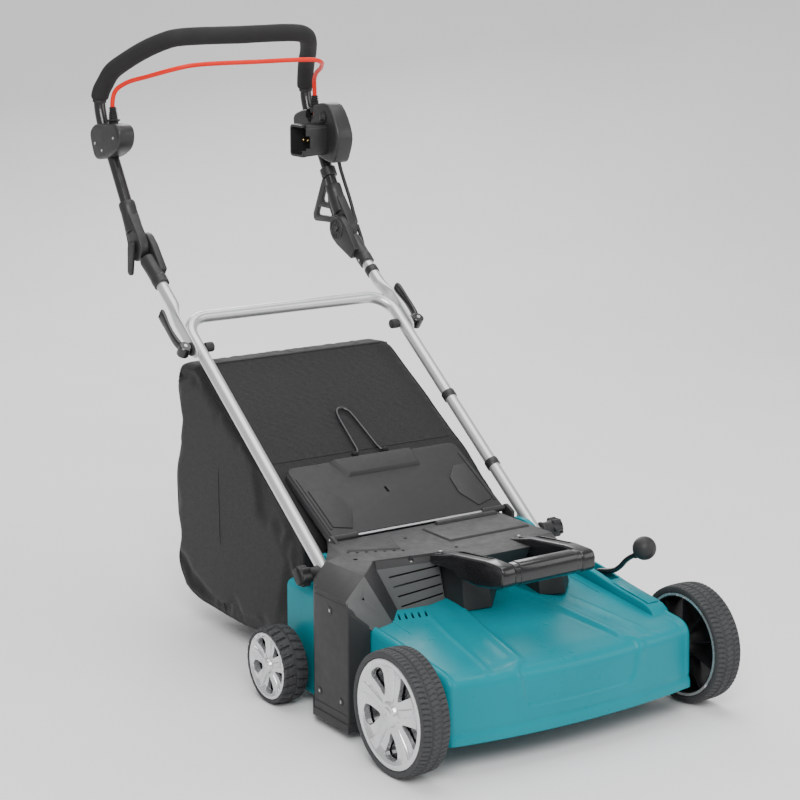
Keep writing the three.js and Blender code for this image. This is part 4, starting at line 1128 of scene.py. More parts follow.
def rr(x0, x1, s0, s1, r, n=6, corners=(1, 1, 1, 1)):
    out = []
    for (cx, cy, a0), on in zip(((x1 - r, s1 - r, 0), (x0 + r, s1 - r, 90), (x0 + r, s0 + r, 180), (x1 - r, s0 + r, 270)), corners):
        if on:
            for k in range(n + 1):
                a = math.radians(a0 + 90 * k / n)
                out.append((cx + r * math.cos(a), cy + r * math.sin(a)))
        else:
            sx = 1 if a0 in (0, 270) else -1
            sy = 1 if a0 in (0, 90) else -1
            out.append((cx + sx * r, cy + sy * r))
    return out


plate = flap_plate(rr(-178, 178, 2, 178, 14, 6, (1, 1, 0, 0)), -2.5, 2.5, 1.6)
# the slot's cutter carries the near-black material: painted shade inside the slot
boolean(plate, [hull([(x, *fp(s_, o)) for x in (-21, -16) for s_ in (84, 98) for o in (-8, 8)], "void_painted_shade")], "DIFFERENCE", 30)
flap_parts.append(plate)
# bevelled skirts down both sides
for s in (-1, 1):
    vs, fs = [], []
    for s_ in (4, 168):
        for x, o in ((176, 1.5), (181, -2.5), (181.5, -13), (178.5, -13), (176, -3)):
            y, z = fp(s_, o)
            vs.append((s * x, y, z))
    n = 5
    fs = [list(range(n)), list(range(n, 2 * n))[::-1]] + [[i, (i + 1) % n, n + (i + 1) % n, n + i] for i in range(n)]
    o_ = make("skirt", vs, fs, "black")
    bevel(o_, 1.2, 3, 20)
    apply_mods(o_, 30)
    flap_parts.append(o_)
# centre tab with its slanted flanks
vs = []
for off, sh_ in ((2.0, 0), (8.0, 5.5)):
    for x, s_ in ((-74 + sh_, 134 + sh_), (80 - sh_, 134 + sh_), (84 - sh_, 177.2), (-92 + sh_ * 2.2, 177.2)):
        y, z = fp(s_, off)
        vs.append((x, y, z))
tab = make("tab", vs, [[0, 1, 2, 3], [7, 6, 5, 4], [0, 4, 5, 1], [1, 5, 6, 2], [2, 6, 7, 3], [3, 7, 4, 0]], "black")
bevel(tab, 1.4, 3, 20)
apply_mods(tab, 30)
flap_parts.append(tab)
# raised pad at each side with a cut corner
for s in (-1, 1):
    ol = [(s * x, q) for x, q in ((166, 24), (132, 14), (112, 52), (116, 92), (140, 118), (166, 118))]
    o_ = flap_plate(ol if s < 0 else ol[::-1], 2.0, 4.6, 1.1)
    flap_parts.append(o_)
    ol = [(s * x, q) for x, q in ((173, 20), (169.5, 20), (169.5, 150), (173, 150))]
    flap_parts.append(flap_plate(ol if s < 0 else ol[::-1], 2.0, 4.0, 0.6))
# stiffening ribs below and hinge barrels
for x in (-140, -90, -45, 0, 45, 90, 140):
    flap_parts.append(flap_plate([(x - 1.2, 14), (x + 1.2, 14), (x + 1.2, 160), (x - 1.2, 160)], -8.5, -2.0, 0.4))
for s in (-1, 1):
    X = (lambda a, b: (a, b)) if s > 0 else (lambda a, b: (-b, -a))
    a_, b_ = X(130, 178)
    flap_parts.append(lathe("barrel", [(3.1, a_), (5.2, a_), (5.8, a_ + 0.8), (5.8, b_ - 0.8), (5.2, b_), (3.1, b_)], "black", None, 32, "X", (0, HY, HZ), closed=True))
flap = join("rear_flap_visual", flap_parts)
finish_part(flap, "rear_flap_visual", "rear_flap", ["rear_flap"])
lathe("flap_rod_visual", [(0, -185.6), (2.1, -185.6), (2.5, -185.1), (2.5, 185.1), (2.1, 185.6), (0, 185.6)], "steel", "deck", 24, "X", (0, HY, HZ), replaces=["flap_hinge_rod"])

# ------------------------------------------------------------------ collector bag
BAG = [(420, 66), (470, 56), (520, 48), (615, 42), (710, 42), (798, 46), (838, 56), (860, 74), (872, 104), (874, 200), (872, 300), (868, 400), (865, 462), (856, 484), (838, 491), (787, 494), (700, 441), (615, 389), (530, 337.5), (480, 300), (430, 262), (420, 250)]


def resample(poly, step):
    out = []
    n = len(poly)
    for i in range(n):
        a, b = Vector(poly[i]), Vector(poly[(i + 1) % n])
        k = max(1, round((b - a).length / step))
        for j in range(k):
            out.append(tuple(a.lerp(b, j / k)))
    return out


def build_bag():
    step = 9.0
    ring = resample(BAG, step)
    n = len(ring)
    xs = np.linspace(-207, 207, 47)
    vs, fs = [], []
    for x in xs:
        for y, z in ring:
            vs.append((x, y, z))
    for i in range(len(xs) - 1):
        for j in range(n):
            k = (j + 1) % n
            fs.append([i * n + j, i * n + k, (i + 1) * n + k, (i + 1) * n + j])
    # end caps
    fs.append([j for j in range(n)][::-1])
    fs.append([(len(xs) - 1) * n + j for j in range(n)])
    ob = make("bag_visual", vs, fs, "fabric")
    m = ob.modifiers.new("bv", "BEVEL")
    m.width, m.segments, m.limit_method, m.angle_limit = 0.010, 3, "ANGLE", math.radians(60)
    m = ob.modifiers.new("r", "REMESH")
    m.mode, m.voxel_size = "VOXEL", 0.0085
    apply_mods(ob, 60)
    me = ob.data
    # the frame holds the mouth, the bottom tray and the upper edge; the cloth between them is free
    g = ob.vertex_groups.new(name="hold")
    co = np.empty(len(me.vertices) * 3)
    me.vertices.foreach_get("co", co)
    co = co.reshape(-1, 3) * 1000
    co[:, 1] += OY
    X, Y, Z = np.abs(co[:, 0]), co[:, 1], co[:, 2]
    hold = np.maximum.reduce([1 - sm(Y, 424, 470), 1 - sm(Z, 50, 64), sm(Z, 474, 488) * (Y > 760) * (sm(X, 150, 205) * 0.6 + 0.4) * 0.9, np.where((Y < 560) & (Z > 330 - 60), 0.7, 0)])
    # front face lies under the flap: held by a flat board
    face = (np.abs(Z - (338 + (Y - 530) * 0.608)) < 10) & (Y > 500) & (Y < 800)
    hold = np.maximum(hold, np.where(face, 0.8, 0))
    for i, w in enumerate(hold):
        if w > 0.02:
            g.add([i], float(min(1, w)), "REPLACE")
    rest = co.copy()
    # slack: the panels start slightly pulled in with long soft folds, then the pressure fills them
    c = ob.modifiers.new("Cloth", "CLOTH")
    s_ = c.settings
    s_.quality = 5
    s_.mass = 0.4
    s_.tension_stiffness, s_.compression_stiffness, s_.shear_stiffness = 12, 12, 5
    s_.bending_stiffness = 0.4
    s_.vertex_group_mass = "hold"
    s_.pin_stiffness = 1.0
    s_.shrink_min = -0.035
    s_.use_pressure = True
    s_.uniform_pressure_force = 0.9
    s_.effector_weights.gravity = 0.0
    c.collision_settings.use_collision = False
    c.point_cache.frame_start, c.point_cache.frame_end = 1, 22
    sc = bpy.context.scene
    for f in range(1, 21):
        sc.frame_set(f)
    apply_mods(ob, 60)
    sc.frame_set(1)
    me = ob.data
    co = np.empty(len(me.vertices) * 3)
    me.vertices.foreach_get("co", co)
    co = co.reshape(-1, 3) * 1000
    co[:, 1] += OY
    if len(co) == len(rest):
        d = co - rest
        L = np.linalg.norm(d, axis=1, keepdims=True)
        cap = 13.0
        d = d * np.minimum(1, cap / np.maximum(L, 1e-6))
        co = rest + d
    # long soft wrinkles that run down the side panels
    for i in range(len(co)):
        x, y, z = co[i]
        side = min(1, max(0, (abs(x) - 188) / 18))
        back = min(1, max(0, (y - 845) / 18))
        if side > 0 or back > 0:
            a = noise.noise(Vector((y * 0.014 + z * 0.004, z * 0.0045 - y * 0.002, 3.1 + (5 if x > 0 else 0))))
            b2 = noise.noise(Vector((x * 0.014, z * 0.005, 9.7)))
            w = max(0, 1 - abs(z - 270) / 240) ** 0.5
            if side > 0:
                co[i][0] += math.copysign(side * w * (a * 6.0 - 1.5), x)
            if back > 0:
                co[i][1] += back * w * (b2 * 6.0 - 1.5)
        lim_x = 214.0
        co[i][0] = min(lim_x, max(-lim_x, co[i][0]))
        co[i][1] = min(880.0, co[i][1])
        if 400 < co[i][1] < 425:
            co[i][1] = max(co[i][1], 419.5)
        zt = 338 + (co[i][1] - 530) * 0.608 + 2.5
        if co[i][1] < 790 and co[i][1] > 430:
            co[i][2] = min(co[i][2], zt)
        if co[i][1] < 620 and abs(co[i][0]) > 196 and co[i][2] > 120:
            k = min(1, (abs(co[i][0]) - 196) / 14) * 0.0
        co[i][2] = min(502, max(38.0, co[i][2]))
    co[:, 1] -= OY
    me.vertices.foreach_set("co", (co / 1000).reshape(-1))
    me.update()
    # mouth opening
    bm = bmesh.new()
    bm.from_mesh(me)
    kill = [f for f in bm.faces if (f.calc_center_median().y * 1000 + OY) < 423 and abs(f.calc_center_median().x) < 0.163 and 0.086 < f.calc_center_median().z < 0.234]
    bmesh.ops.delete(bm, geom=kill, context="FACES")
    bm.to_mesh(me)
    bm.free()
    m = ob.modifiers.new("sub", "SUBSURF")
    m.levels = m.render_levels = 1
    m = ob.modifiers.new("sol", "SOLIDIFY")
    m.thickness, m.offset = 0.0016, -1
    apply_mods(ob, 60)
    return ob


bag = build_bag()
finish_part(bag, "bag_visual", "bag", ["collector_bag"])

# edge tape, seams and the stiff upper edge
bag_bvh = None
from mathutils.bvhtree import BVHTree
bag_bvh = BVHTree.FromObject(bag, bpy.context.evaluated_depsgraph_get())


def on_bag(p, lift=0.0):
    q = bag_bvh.find_nearest(M(p))
    w = q[0] + q[1] * (lift / 1000)
    return (w.x * 1000, w.y * 1000 + OY, w.z * 1000)


def seam(name, pts, w=5.0, t=1.3, closed=False):
    P_ = []
    for a, b in zip(pts[:-1], pts[1:]):
        a, b = Vector(a), Vector(b)
        k = max(1, round((b - a).length / 9))
        for j in range(k):
            P_.append(on_bag(tuple(a.lerp(b, j / k)), 0.2))
    P_.append(on_bag(pts[-1], 0.2))
    # smooth
    Q = np.array(P_)
    for _ in range(4):
        Q[1:-1] = (Q[:-2] + 2 * Q[1:-1] + Q[2:]) / 4
    vs, fs = [], []
    n = len(Q)
    for i in range(n):
        tt = Vector(Q[min(i + 1, n - 1)] - Q[max(i - 1, 0)]).normalized()
        nn = Vector(bag_bvh.find_nearest(M(tuple(Q[i])))[1])
        bb = tt.cross(nn).normalized()
        c = Vector(Q[i])
        for u_, v_ in ((-1, -0.6), (-0.8, 0.7), (-0.25, 1.0), (0.25, 1.0), (0.8, 0.7), (1, -0.6)):
            vs.append(tuple(c + bb * (u_ * w / 2) + nn * (v_ * t)))
    for i in range(n - 1):
        for j in range(5):
            fs.append([i * 6 + j, i * 6 + j + 1, i * 6 + j + 7, i * 6 + j + 6])
        fs.append([i * 6 + 5, i * 6, i * 6 + 6, i * 6 + 11])
    fs.append([0, 1, 2, 3, 4, 5])
    fs.append([(n - 1) * 6 + j for j in (5, 4, 3, 2, 1, 0)])
    return make(name, vs, fs, "trim", "bag", (), 50)


for s in (-1, 1):
    t = "left" if s < 0 else "right"
    X_ = s * 210
    ring = [(X_, y, z) for y, z in BAG[9:]] + [(X_, y, z) for y, z in BAG[:10]]
    seam("bag_edge_tape_%s" % t, ring, 6.5, 1.5)
    seam("bag_panel_seam_%s" % t, [(s * 212, 700, 50), (s * 214, 704, 250), (s * 212, 706, 438)], 4.0, 0.9)
seam("bag_back_seam", [(-206, 874, 330), (0, 876, 330), (206, 874, 330)], 4.5, 1.0)
seam("bag_top_hem", [(-205, 788, 495), (0, 788, 496), (205, 788, 495)], 9.0, 1.6)
seam("bag_face_seam", [(-205, 560, 357), (0, 560, 357), (205, 560, 357)], 4.0, 0.9)
tube("bag_handle_visual", catmull([(x, 548 + s_ * 0.8545 - 0.5195 * 5, 348.5 + s_ * 0.5195 + 0.8545 * 5) for x, s_ in ((-30, 2), (-19, 3), (-15, 8), (-12, 35), (-10, 60), (-7, 95), (-4, 108), (2, 116), (8, 118), (14, 116), (20, 108), (23, 95), (26, 60), (28, 35), (31, 8), (35, 3), (46, 2))], 6), 2.5, "btube", "bag_handle", 16, ["bag_handle"])
for x in (-24, 40):
    y, z = 548 + 2 * 0.8545 - 2.6, 348.5 + 1.04 + 4.3
    tube("bag_handle_loop_%s" % ("a" if x < 0 else "b"), [(x - 5, y, z), (x + 5, y, z)], 4.4, "trim", "bag", 18, (), "round")

# ------------------------------------------------------------------ lower handle and middle stage
PIV, CAMP, ELB = (336.0, 224.0), (755.6, 532.2), (965.0, 687.0)
LD = 36.3
bar = along(PIV, LD, 594.5)
b1 = along(PIV, LD, -14)
u = fillet([(-219, *b1), (-219, *bar), (219, *bar), (219, *b1)], 46, 14)
low = tube("lower_handle_visual", u, 11.0, "tube", None, 40, ends="flat")
boolean(low, [cyl((-245, *PIV), (245, *PIV), 5.4, "tube", 20), cyl((-245, *CAMP), (245, *CAMP), 4.8, "tube", 20)])
finish_part(low, "lower_handle_visual", "lower_handle", ["lower_handle"])


def slabm(name, p, deg, pts, x0, x1, mat, body, w=1.2, replaces=(), seg=3):
    poly = [along(p, deg, s_, o) for s_, o in pts]
    return prism(name, poly, x0, x1, mat, body, w, seg, replaces)


def rect_r(s0, s1, w0, w1, r=3.0, n=5):
    out = []
    for cx, cy, a0 in ((s1 - r, w1 - r, 0), (s0 + r, w1 - r, 90), (s0 + r, w0 + r, 180), (s1 - r, w0 + r, 270)):
        for k in range(n + 1):
            a = math.radians(a0 + 90 * k / n)
            out.append((cx + r * math.cos(a), cy + r * math.sin(a)))
    return out


def disc_on(name, x0, x1, c, r, mat, w=1.2, seg=48):
    s = 1 if x1 > x0 else -1
    return lathe(name, [(0, x0), (r, x0), (r, x1 - s * w), (r - w * 0.3, x1 - s * w * 0.3), (r - w, x1), (0, x1)], mat, None, seg, "X", (0, c[0], c[1]))


for s in (-1, 1):
    tag = "right" if s > 0 else "left"
    X = (lambda a, b: (a, b)) if s > 0 else (lambda a, b: (-b, -a))
    # ends of the lower handle: two points along it, not used further
    e0, e1 = along(PIV, LD, -15.2), along(PIV, LD, -8)
    # clamp knob: star head with lobes, washer and bolt
    lobes = []
    for k in range(120):
        a = 2 * math.pi * k / 120
        r = 15.6 + 2.6 * math.cos(6 * a)
        lobes.append((PIV[0] + r * math.cos(a), PIV[1] + r * math.sin(a)))
    head = prism("head", lobes, *X(252, 270), "black", None, 2.4, 4)
    nk = lathe("neck", [(4.7, s * 231.0), (12.5, s * 231.0), (13.5, s * 232.5), (12.0, s * 238.0), (11.5, s * 244), (13.5, s * 253), (4.7, s * 253)], "black", None, 40, "X", (0, *PIV), closed=True)
    wing = prism("wing", [(PIV[0] + y * math.cos(0.9) - z * math.sin(0.9), PIV[1] + y * math.sin(0.9) + z * math.cos(0.9)) for y, z in rect_r(-15, 15, -4.2, 4.2, 3.5)], *X(266, 276), "black", None, 2.2, 4)
    ring_ = lathe("ring", [(12.4, s * 269), (13.4, s * 270.8), (14.6, s * 270.8), (15.2, s * 269)] if s > 0 else [(12.4, s * 269), (15.2, s * 269), (14.6, s * 270.8), (13.4, s * 270.8)], "black", None, 48, "X", (0, *PIV), closed=True)
    kb = join("pivot_knob_visual_" + tag, [head, nk, wing, ring_])
    finish_part(kb, "pivot_knob_visual_" + tag, "pivot_knob_" + tag, ["pivot_knob_" + tag])
    bolt = lathe("pivot_bolt_" + tag, [(0, s * 193), (4.0, s * 193), (4.6, s * 193.8), (4.6, s * 254), (0, s * 254)], "steel", "pivot_knob_" + tag, 28, "X", (0, *PIV))
    # washer between ear and tube
    lathe("pivot_washer_" + tag, [(5.6, s * 207.8), (11.5, s * 207.8), (11.5, s * 208.4), (5.6, s * 208.4)], "steel", "deck", 32, "X", (0, *PIV), closed=True)

    # side tube: the round tube is pressed flat at its lower end
    prof_pts, rad_ = [], []
    for q in np.linspace(78, 215, 24):
        prof_pts.append((s * 223, *along(CAMP, LD, q)))
    tub = tube("st", prof_pts, 11.0, "tube", None, 40, ends="flat")
    # flattening: section goes from round to a flat bar outside the lower handle
    rings, fs = [], []
    N = 40
    st = []
    for q in np.linspace(112, 60, 14):
        f = sm((112 - q), 0, 46)
        st.append((q, f))
    for q in (50, 30, 10, -4, -12, -16.5, -18):
        st.append((q, 1.0))
    for q, f in st:
        cx = 223 + f * (232.2 - 223)
        hx = 11.0 * (1 - f) + 1.8 * f
        hw = 11.0 * (1 - f) + 12.6 * f
        if q < -4:
            hw = math.sqrt(max(0.1, 14.0 ** 2 - (q + 4) ** 2)) * 12.6 / 14.0
        ring = []
        for k in range(N):
            a = 2 * math.pi * k / N
            ca, sa = math.cos(a), math.sin(a)
            e = 1 - 0.62 * f
            px = hx * math.copysign(abs(ca) ** e, ca)
            pw = hw * math.copysign(abs(sa) ** (1 - 0.55 * f), sa)
            y, z = along(CAMP, LD, q, pw)
            ring.append((s * (cx + px), y, z))
        rings += ring
    n = len(st)
    for i in range(n - 1):
        for k in range(N):
            k2 = (k + 1) % N
            fs.append([i * N + k, i * N + k2, (i + 1) * N + k2, (i + 1) * N + k])
    fs.append(list(range(N))[::-1])
    fs.append([(n - 1) * N + k for k in range(N)])
    fl = make("fl", rings, fs, "tube")
    boolean(fl, [cyl((s * 226, *CAMP), (s * 240, *CAMP), 4.7, "tube", 24)])
    # the two runs meet at 112; trim the round tube there
    D.objects.remove(tub)
    tub = tube("st", [(s * 223, *along(CAMP, LD, q)) for q in np.linspace(112, 215, 16)], 11.0, "tube", None, 40, ends="flat")
    stb = join("side_tube_visual_" + tag, [fl, tub])
    clean(stb, 0.05)
    sharp(stb, 40)
    finish_part(stb, "side_tube_visual_" + tag, "middle_handle", ["side_tube_" + tag])
    # bolt with its flat head on the inside
    cb = lathe("cb", [(0, s * 191), (6.5, s * 191.0), (8.4, s * 192.2), (9.0, s * 194.5), (9.0, s * 205.5), (8.2, s * 207.4), (4.0, s * 207.4), (4.0, s * 237.2), (3.4, s * 237.6), (0, s * 237.6)], "black", None, 36, "X", (0, *CAMP))
    finish_part(cb, "cam_bolt_visual_" + tag, "middle_handle", ["cam_bolt_" + tag])
    # cam lever: barrel, fork and a curved thumb blade
    c3 = Vector((s * 250, *CAMP))
    nn = Vector((0, -math.sin(math.radians(LD)), math.cos(math.radians(LD))))
    barrel = lathe_on("b", [(0, 0), (9.6, 0), (11.2, 1.2), (11.4, 3), (11.4, 19), (11.2, 20.8), (9.6, 22), (0, 22)], "gloss", None, tuple(c3 - nn * 11), tuple(c3 + nn * 11), 44)
    pin = lathe_on("p", [(0, -0.8), (3.2, -0.8), (3.8, 0), (3.8, 22.6), (3.2, 23.4), (0, 23.4)], "steel", None, tuple(c3 - nn * 11), tuple(c3 + nn * 11), 28)
    blade_v, blade_f = [], []
    st = [(2, 251.0, 9.5, 8.0), (16, 255.5, 10.0, 8.2), (32, 257.2, 8.2, 8.0), (50, 257.4, 7.2, 8.0), (66, 256.6, 7.6, 8.8), (78, 255.6, 8.8, 10.0), (88, 255.0, 9.6, 10.4), (94, 254.2, 8.0, 9.6), (97, 253.6, 4.5, 7.0)]
    N = 24
    for q, cx, tx, tw in st:
        for k in range(N):
            a = 2 * math.pi * k / N
            ca, sa = math.cos(a), math.sin(a)
            px = tx / 2 * math.copysign(abs(ca) ** 0.62, ca)
            pw = tw * math.copysign(abs(sa) ** 0.62, sa)
            y, z = along(CAMP, LD, q, pw)
            blade_v.append((s * (cx + px), y, z))
    n = len(st)
    for i in range(n - 1):
        for k in range(N):
            k2 = (k + 1) % N
            blade_f.append([i * N + k, i * N + k2, (i + 1) * N + k2, (i + 1) * N + k])
    blade_f.append(list(range(N))[::-1])
    blade_f.append([(n - 1) * N + k for k in range(N)])
    bl = make("blade", blade_v, blade_f, "gloss")
    m = bl.modifiers.new("s", "SUBSURF")
    m.levels = m.render_levels = 1
    apply_mods(bl, 50)
    ribs = []
    for q in (70, 75, 80, 85, 90):
        y, z = along(CAMP, LD, q)
        a_, b_ = along(CAMP, LD, q, -7), along(CAMP, LD, q, 7)
        ribs.append(tube("rb", [(s * 259.6, *a_), (s * 259.6, *b_)], 0.9, "gloss", None, 10))
    cl = join("cam_lever_visual_" + tag, [barrel, bl] + ribs)
    finish_part(cl, "cam_lever_visual_" + tag, "cam_lever_" + tag, ["cam_lever_" + tag])
    finish_part(pin, "cam_pin_" + tag, "cam_lever_" + tag)
    # curved washer the cam works against
    lathe("cam_washer_" + tag, [(4.6, s * 234.3), (11.5, s * 234.3), (12.5, s * 235.2), (12.5, s * 237.0), (11.0, s * 238.2), (4.6, s * 238.2)], "black", "middle_handle", 40, "X", (0, *CAMP), closed=True)

    # angle joint, lower half: sleeve, cheek plate and disc with radial ribs
    slv = lathe_on("slv", [(11.4, 0), (13.6, 0), (14.6, 1.2), (15.2, 14), (15.2, 17), (14.7, 18), (14.9, 40), (16.0, 62), (15.4, 67), (11.4, 67)], "housing", None, (s * 223, *along(ELB, LD, -100)), (s * 223, *along(ELB, LD, -33)), 44, closed=True)
    chk_pts = [(-72, -13), (-46, -19), (-20, -25.5), (0, -27), (10, -25), (19, -19), (25.5, -9), (27, 0), (25.5, 9), (19, 19), (10, 25), (0, 27), (-20, 25.5), (-46, 19), (-72, 13)]
    chk = slabm("chk", ELB, LD, chk_pts, *X(203, 217), "housing", None, 2.6, (), 4)
    rib1 = lathe("rib1", [(17, s * 203.4), (18.4, s * 201.6), (21.0, s * 201.6), (22.4, s * 203.4)] if s > 0 else [(22.4, s * 203.4), (21.0, s * 201.6), (18.4, s * 201.6), (17, s * 203.4)], "housing", None, 60, "X", (0, *ELB), closed=True)
    hubn = lathe("hubn", [(0, s * 200.2), (5.4, s * 200.2), (6.4, s * 201.4), (6.8, s * 204), (0, s * 204)], "housing", None, 6, "X", (0, *ELB))
    spl = []
    for k in range(12):
        a = 2 * math.pi * k / 12
        spl.append(tube("t", [(s * 202.8, ELB[0] + 9 * math.cos(a), ELB[1] + 9 * math.sin(a)), (s * 202.8, ELB[0] + 17.2 * math.cos(a), ELB[1] + 17.2 * math.sin(a))], 0.9, "housing", None, 8))
    jl = join("joint_lower_visual_" + tag, [slv, chk, rib1, hubn] + spl)
    finish_part(jl, "joint_lower_visual_" + tag, "middle_handle", ["joint_lower_" + tag])
    for k, q in enumerate((-90, -50)):
        y, z = along(ELB, LD, q)
        screw("joint_lower_screw_%s_%d" % (tag, k), (s * (223 - 14.9), y, z), (-s, 0, 0), 2.6, "middle_handle")

    # upper half
    UD = 58
    slu = lathe_on("slu", [(11.4, 0), (15.0, 0), (16.2, 1.4), (16.0, 20), (15.2, 42), (15.6, 44), (15.6, 56), (14.4, 59), (11.4, 59)], "housing", None, (s * 226, *along(ELB, UD, 33)), (s * 226, *along(ELB, UD, 92)), 44, closed=True)
    chu = slabm("chu", ELB, UD, [(64, -15), (40, -19), (18, -23.5), (0, -25), (-10, -23), (-18, -17.5), (-23.5, -8.5), (-25, 0), (-23.5, 8.5), (-18, 17.5), (-10, 23), (0, 25), (18, 23.5), (40, 19), (64, 15)], *X(217.4, 236.5), "housing", None, 3.0, (), 4)
    boolean(chu, [tube("c", [(s * 226, *along(ELB, UD, 33)), (s * 226, *along(ELB, UD, 100))], 11.3, "housing", None, 30, ends="flat")])
    capn = lathe("capn", [(0, s * 238.6), (8, s * 238.6), (10.4, s * 237.8), (11.5, s * 236.2), (0, s * 236.2)] , "housing", None, 44, "X", (0, *ELB))
    ju = join("joint_upper_visual_" + tag, [slu, chu])
    D.objects.remove(capn)
    finish_part(ju, "joint_upper_visual_" + tag, "upper_handle", ["joint_upper_" + tag])
    # pressed release tail with grip ridges
    tl_pts = [(-13, -7), (-11, -9.5), (0, -11), (14, -10.5), (34, -9.2), (46, -8.2), (50.5, -5), (51.5, 0), (50.5, 5), (46, 8.2), (34, 9.2), (14, 10.5), (0, 11), (-11, 9.5), (-13, 7)]
    jr = slabm("jr", ELB, 276, tl_pts, *X(240, 246), "housing", None, 2.0, (), 4)
    rd = [jr, lathe("hub", [(0, s * 237.4), (4.6, s * 237.4), (5.2, s * 238), (5.2, s * 241), (0, s * 241)], "housing", None, 28, "X", (0, 966.5, 682))]
    for q in (30, 35, 40, 45):
        a_, b_ = along(ELB, 276, q, -7), along(ELB, 276, q, 7)
        rd.append(tube("r", [(s * 246, *a_), (s * 246, *b_)], 0.9, "housing", None, 10))
    jr = join("joint_release_visual_" + tag, rd)
    finish_part(jr, "joint_release_visual_" + tag, "joint_release_" + tag, ["joint_release_" + tag])

# ------------------------------------------------------------------ upper handle
half = [(226, 987, 722), (226, 1010, 759), (226, 1064, 845), (226, 1096, 892), (226, 1110, 925), (226, 1113, 948), (224, 1110, 963), (219, 1101, 980), (212, 1086, 1001), (195, 1051, 1025), (172, 1013, 1048), (152, 990, 1060), (130, 981, 1066)]
ctrl = [(-x, y, z) for x, y, z in half] + [(0, 981, 1067)] + half[::-1]
top = catmull(ctrl, 8)
tube("upper_handle_visual", top, 11.0, "btube", "upper_handle", 36, ["upper_handle"], ends="flat")
i0, i1 = 5 * 8, len(top) - 1 - 5 * 8
gp = top[i0:i1 + 1]
ng = len(gp)


def grip_r(i):
    t = min(i, ng - 1 - i)
    return 16.5 if t > 3 else (13.4, 15.2, 16.1, 16.45)[t]


vs, fs = tube_data(gp, lambda i: grip_r(i), 40, "flat")
grip_o = make("foam_grip_visual", vs, fs, "foam")
# slight handling dents
me = grip_o.data
for v in me.vertices:
    q = noise.noise(v.co * 26.0)
    v.co += v.normal * (q * 0.0006)
boolean(grip_o, [tube("c", [gp[0] + (gp[0] - gp[1]).normalized() * 6] + gp + [gp[-1] + (gp[-1] - gp[-2]).normalized() * 6], 11.15, "foam", None, 30, ends="flat")], "DIFFERENCE", 60)
finish_part(grip_o, "foam_grip_visual", "upper_handle", ["foam_grip"])

# tape collars at the ends of the grip
for s, p, q in ((-1, gp[0], gp[1]), (1, gp[-1], gp[-2])):
    d = (p - q).normalized()
    lathe_on("grip_collar_%s" % ("left" if s < 0 else "right"), [(11.2, 0), (12.6, 0), (13.0, 0.6), (13.0, 4.4), (12.6, 5), (11.2, 5)], "rubber", "upper_handle", p + d * 0.2, p + d * 6, 36, closed=True)


def smooth_poly(poly, per=5):
    """closed rounded outline through control points"""
    P_ = [Vector(p) for p in poly]
    n = len(P_)
    out = []
    for i in range(n):
        p0, p1, p2, p3 = P_[i - 1], P_[i], P_[(i + 1) % n], P_[(i + 2) % n]
        for k in range(per):
            t = k / per
            out.append(tuple(0.5 * ((2 * p1) + (-p0 + p2) * t + (2 * p0 - 5 * p1 + 4 * p2 - p3) * t * t + (-p0 + 3 * p1 - 3 * p2 + p3) * t ** 3)))
    return out


def pod(name, outline, xs_scale, mat, body):
    """moulded shell: outline in Y,Z lofted along X, shrinking towards both faces"""
    o = smooth_poly(outline, 4)
    cy = sum(p[0] for p in o) / len(o)
    cz = sum(p[1] for p in o) / len(o)
    n = len(o)
    vs, fs = [], []
    for x, sc, dy, dz in xs_scale:
        for y, z in o:
            L = math.hypot(y - cy, z - cz)
            k = (L - sc) / L
            vs.append((x, cy + (y - cy) * k + dy, cz + (z - cz) * k + dz))
    m = len(xs_scale)
    for i in range(m - 1):
        for j in range(n):
            k = (j + 1) % n
            fs.append([i * n + j, i * n + k, (i + 1) * n + k, (i + 1) * n + j])
    fs.append(list(range(n))[::-1])
    fs.append([(m - 1) * n + j for j in range(n)])
    return make(name, vs, fs, mat, body, (), 38)


def shell_x(a, b, r=7):
    """stations along X with rounded shoulders"""
    s = 1 if b > a else -1
    out = []
    for k in range(6):
        t = math.pi / 2 * k / 5
        out.append((a + s * r * 0.7 * (1 - math.cos(t)), r * (1 - math.sin(t)), 0, 0))
    for k in range(6):
        t = math.pi / 2 * k / 5
        out.append((b - s * r * 0.7 * (1 - math.cos(math.pi / 2 - t)), r * (1 - math.sin(math.pi / 2 - t)), 0, 0))
    return out


tl = top[:]
left_cut = tube("c", [v for v in top[6:60]], 11.3, "housing", None, 30, ends="flat")
bh = pod("bail_housing_visual", [(1067 + (y - 1067) * 0.84, z) for y, z in ((1138, 887), (1114, 903), (1075, 906), (1030, 909), (1003, 905), (994, 888), (1005, 866), (1042, 849), (1085, 840), (1116, 840), (1132, 862))], shell_x(-243, -207, 8), "housing", None)
boolean(bh, [left_cut, cyl((-233, 1068, 893), (-205, 1068, 893), 8.2, "housing", 30), bx(-232, -205, 1054, 1082, 893, 945, "housing")])
xs_band = []
finish_part(bh, "bail_housing_visual", "upper_handle", ["bail_housing"])
for k, (y, z) in enumerate(((1028, 884), (1104, 868), (1076, 857))):
    screw("bail_housing_screw_%d" % k, (-242.6, y, z), (-1, 0, 0), 2.8, "upper_handle")

right_cut = tube("c", [v for v in top[-60:-6]], 11.3, "housing", None, 30, ends="flat")
sh = pod("switch_housing_visual", [(1134, 889), (1108, 905), (1075, 912), (1055, 921), (1003, 923), (966, 870), (975, 828), (992, 812), (1041, 822), (1085, 838), (1118, 848)], shell_x(207, 245, 8), "housing", None)
cutb = [right_cut, cyl((205, 1068, 893), (233, 1068, 893), 8.2, "housing", 30), bx(205, 232, 1054, 1082, 893, 945, "housing"), cyl((200, 1018, 900), (213, 1018, 900), 8.4, "housing", 32)]
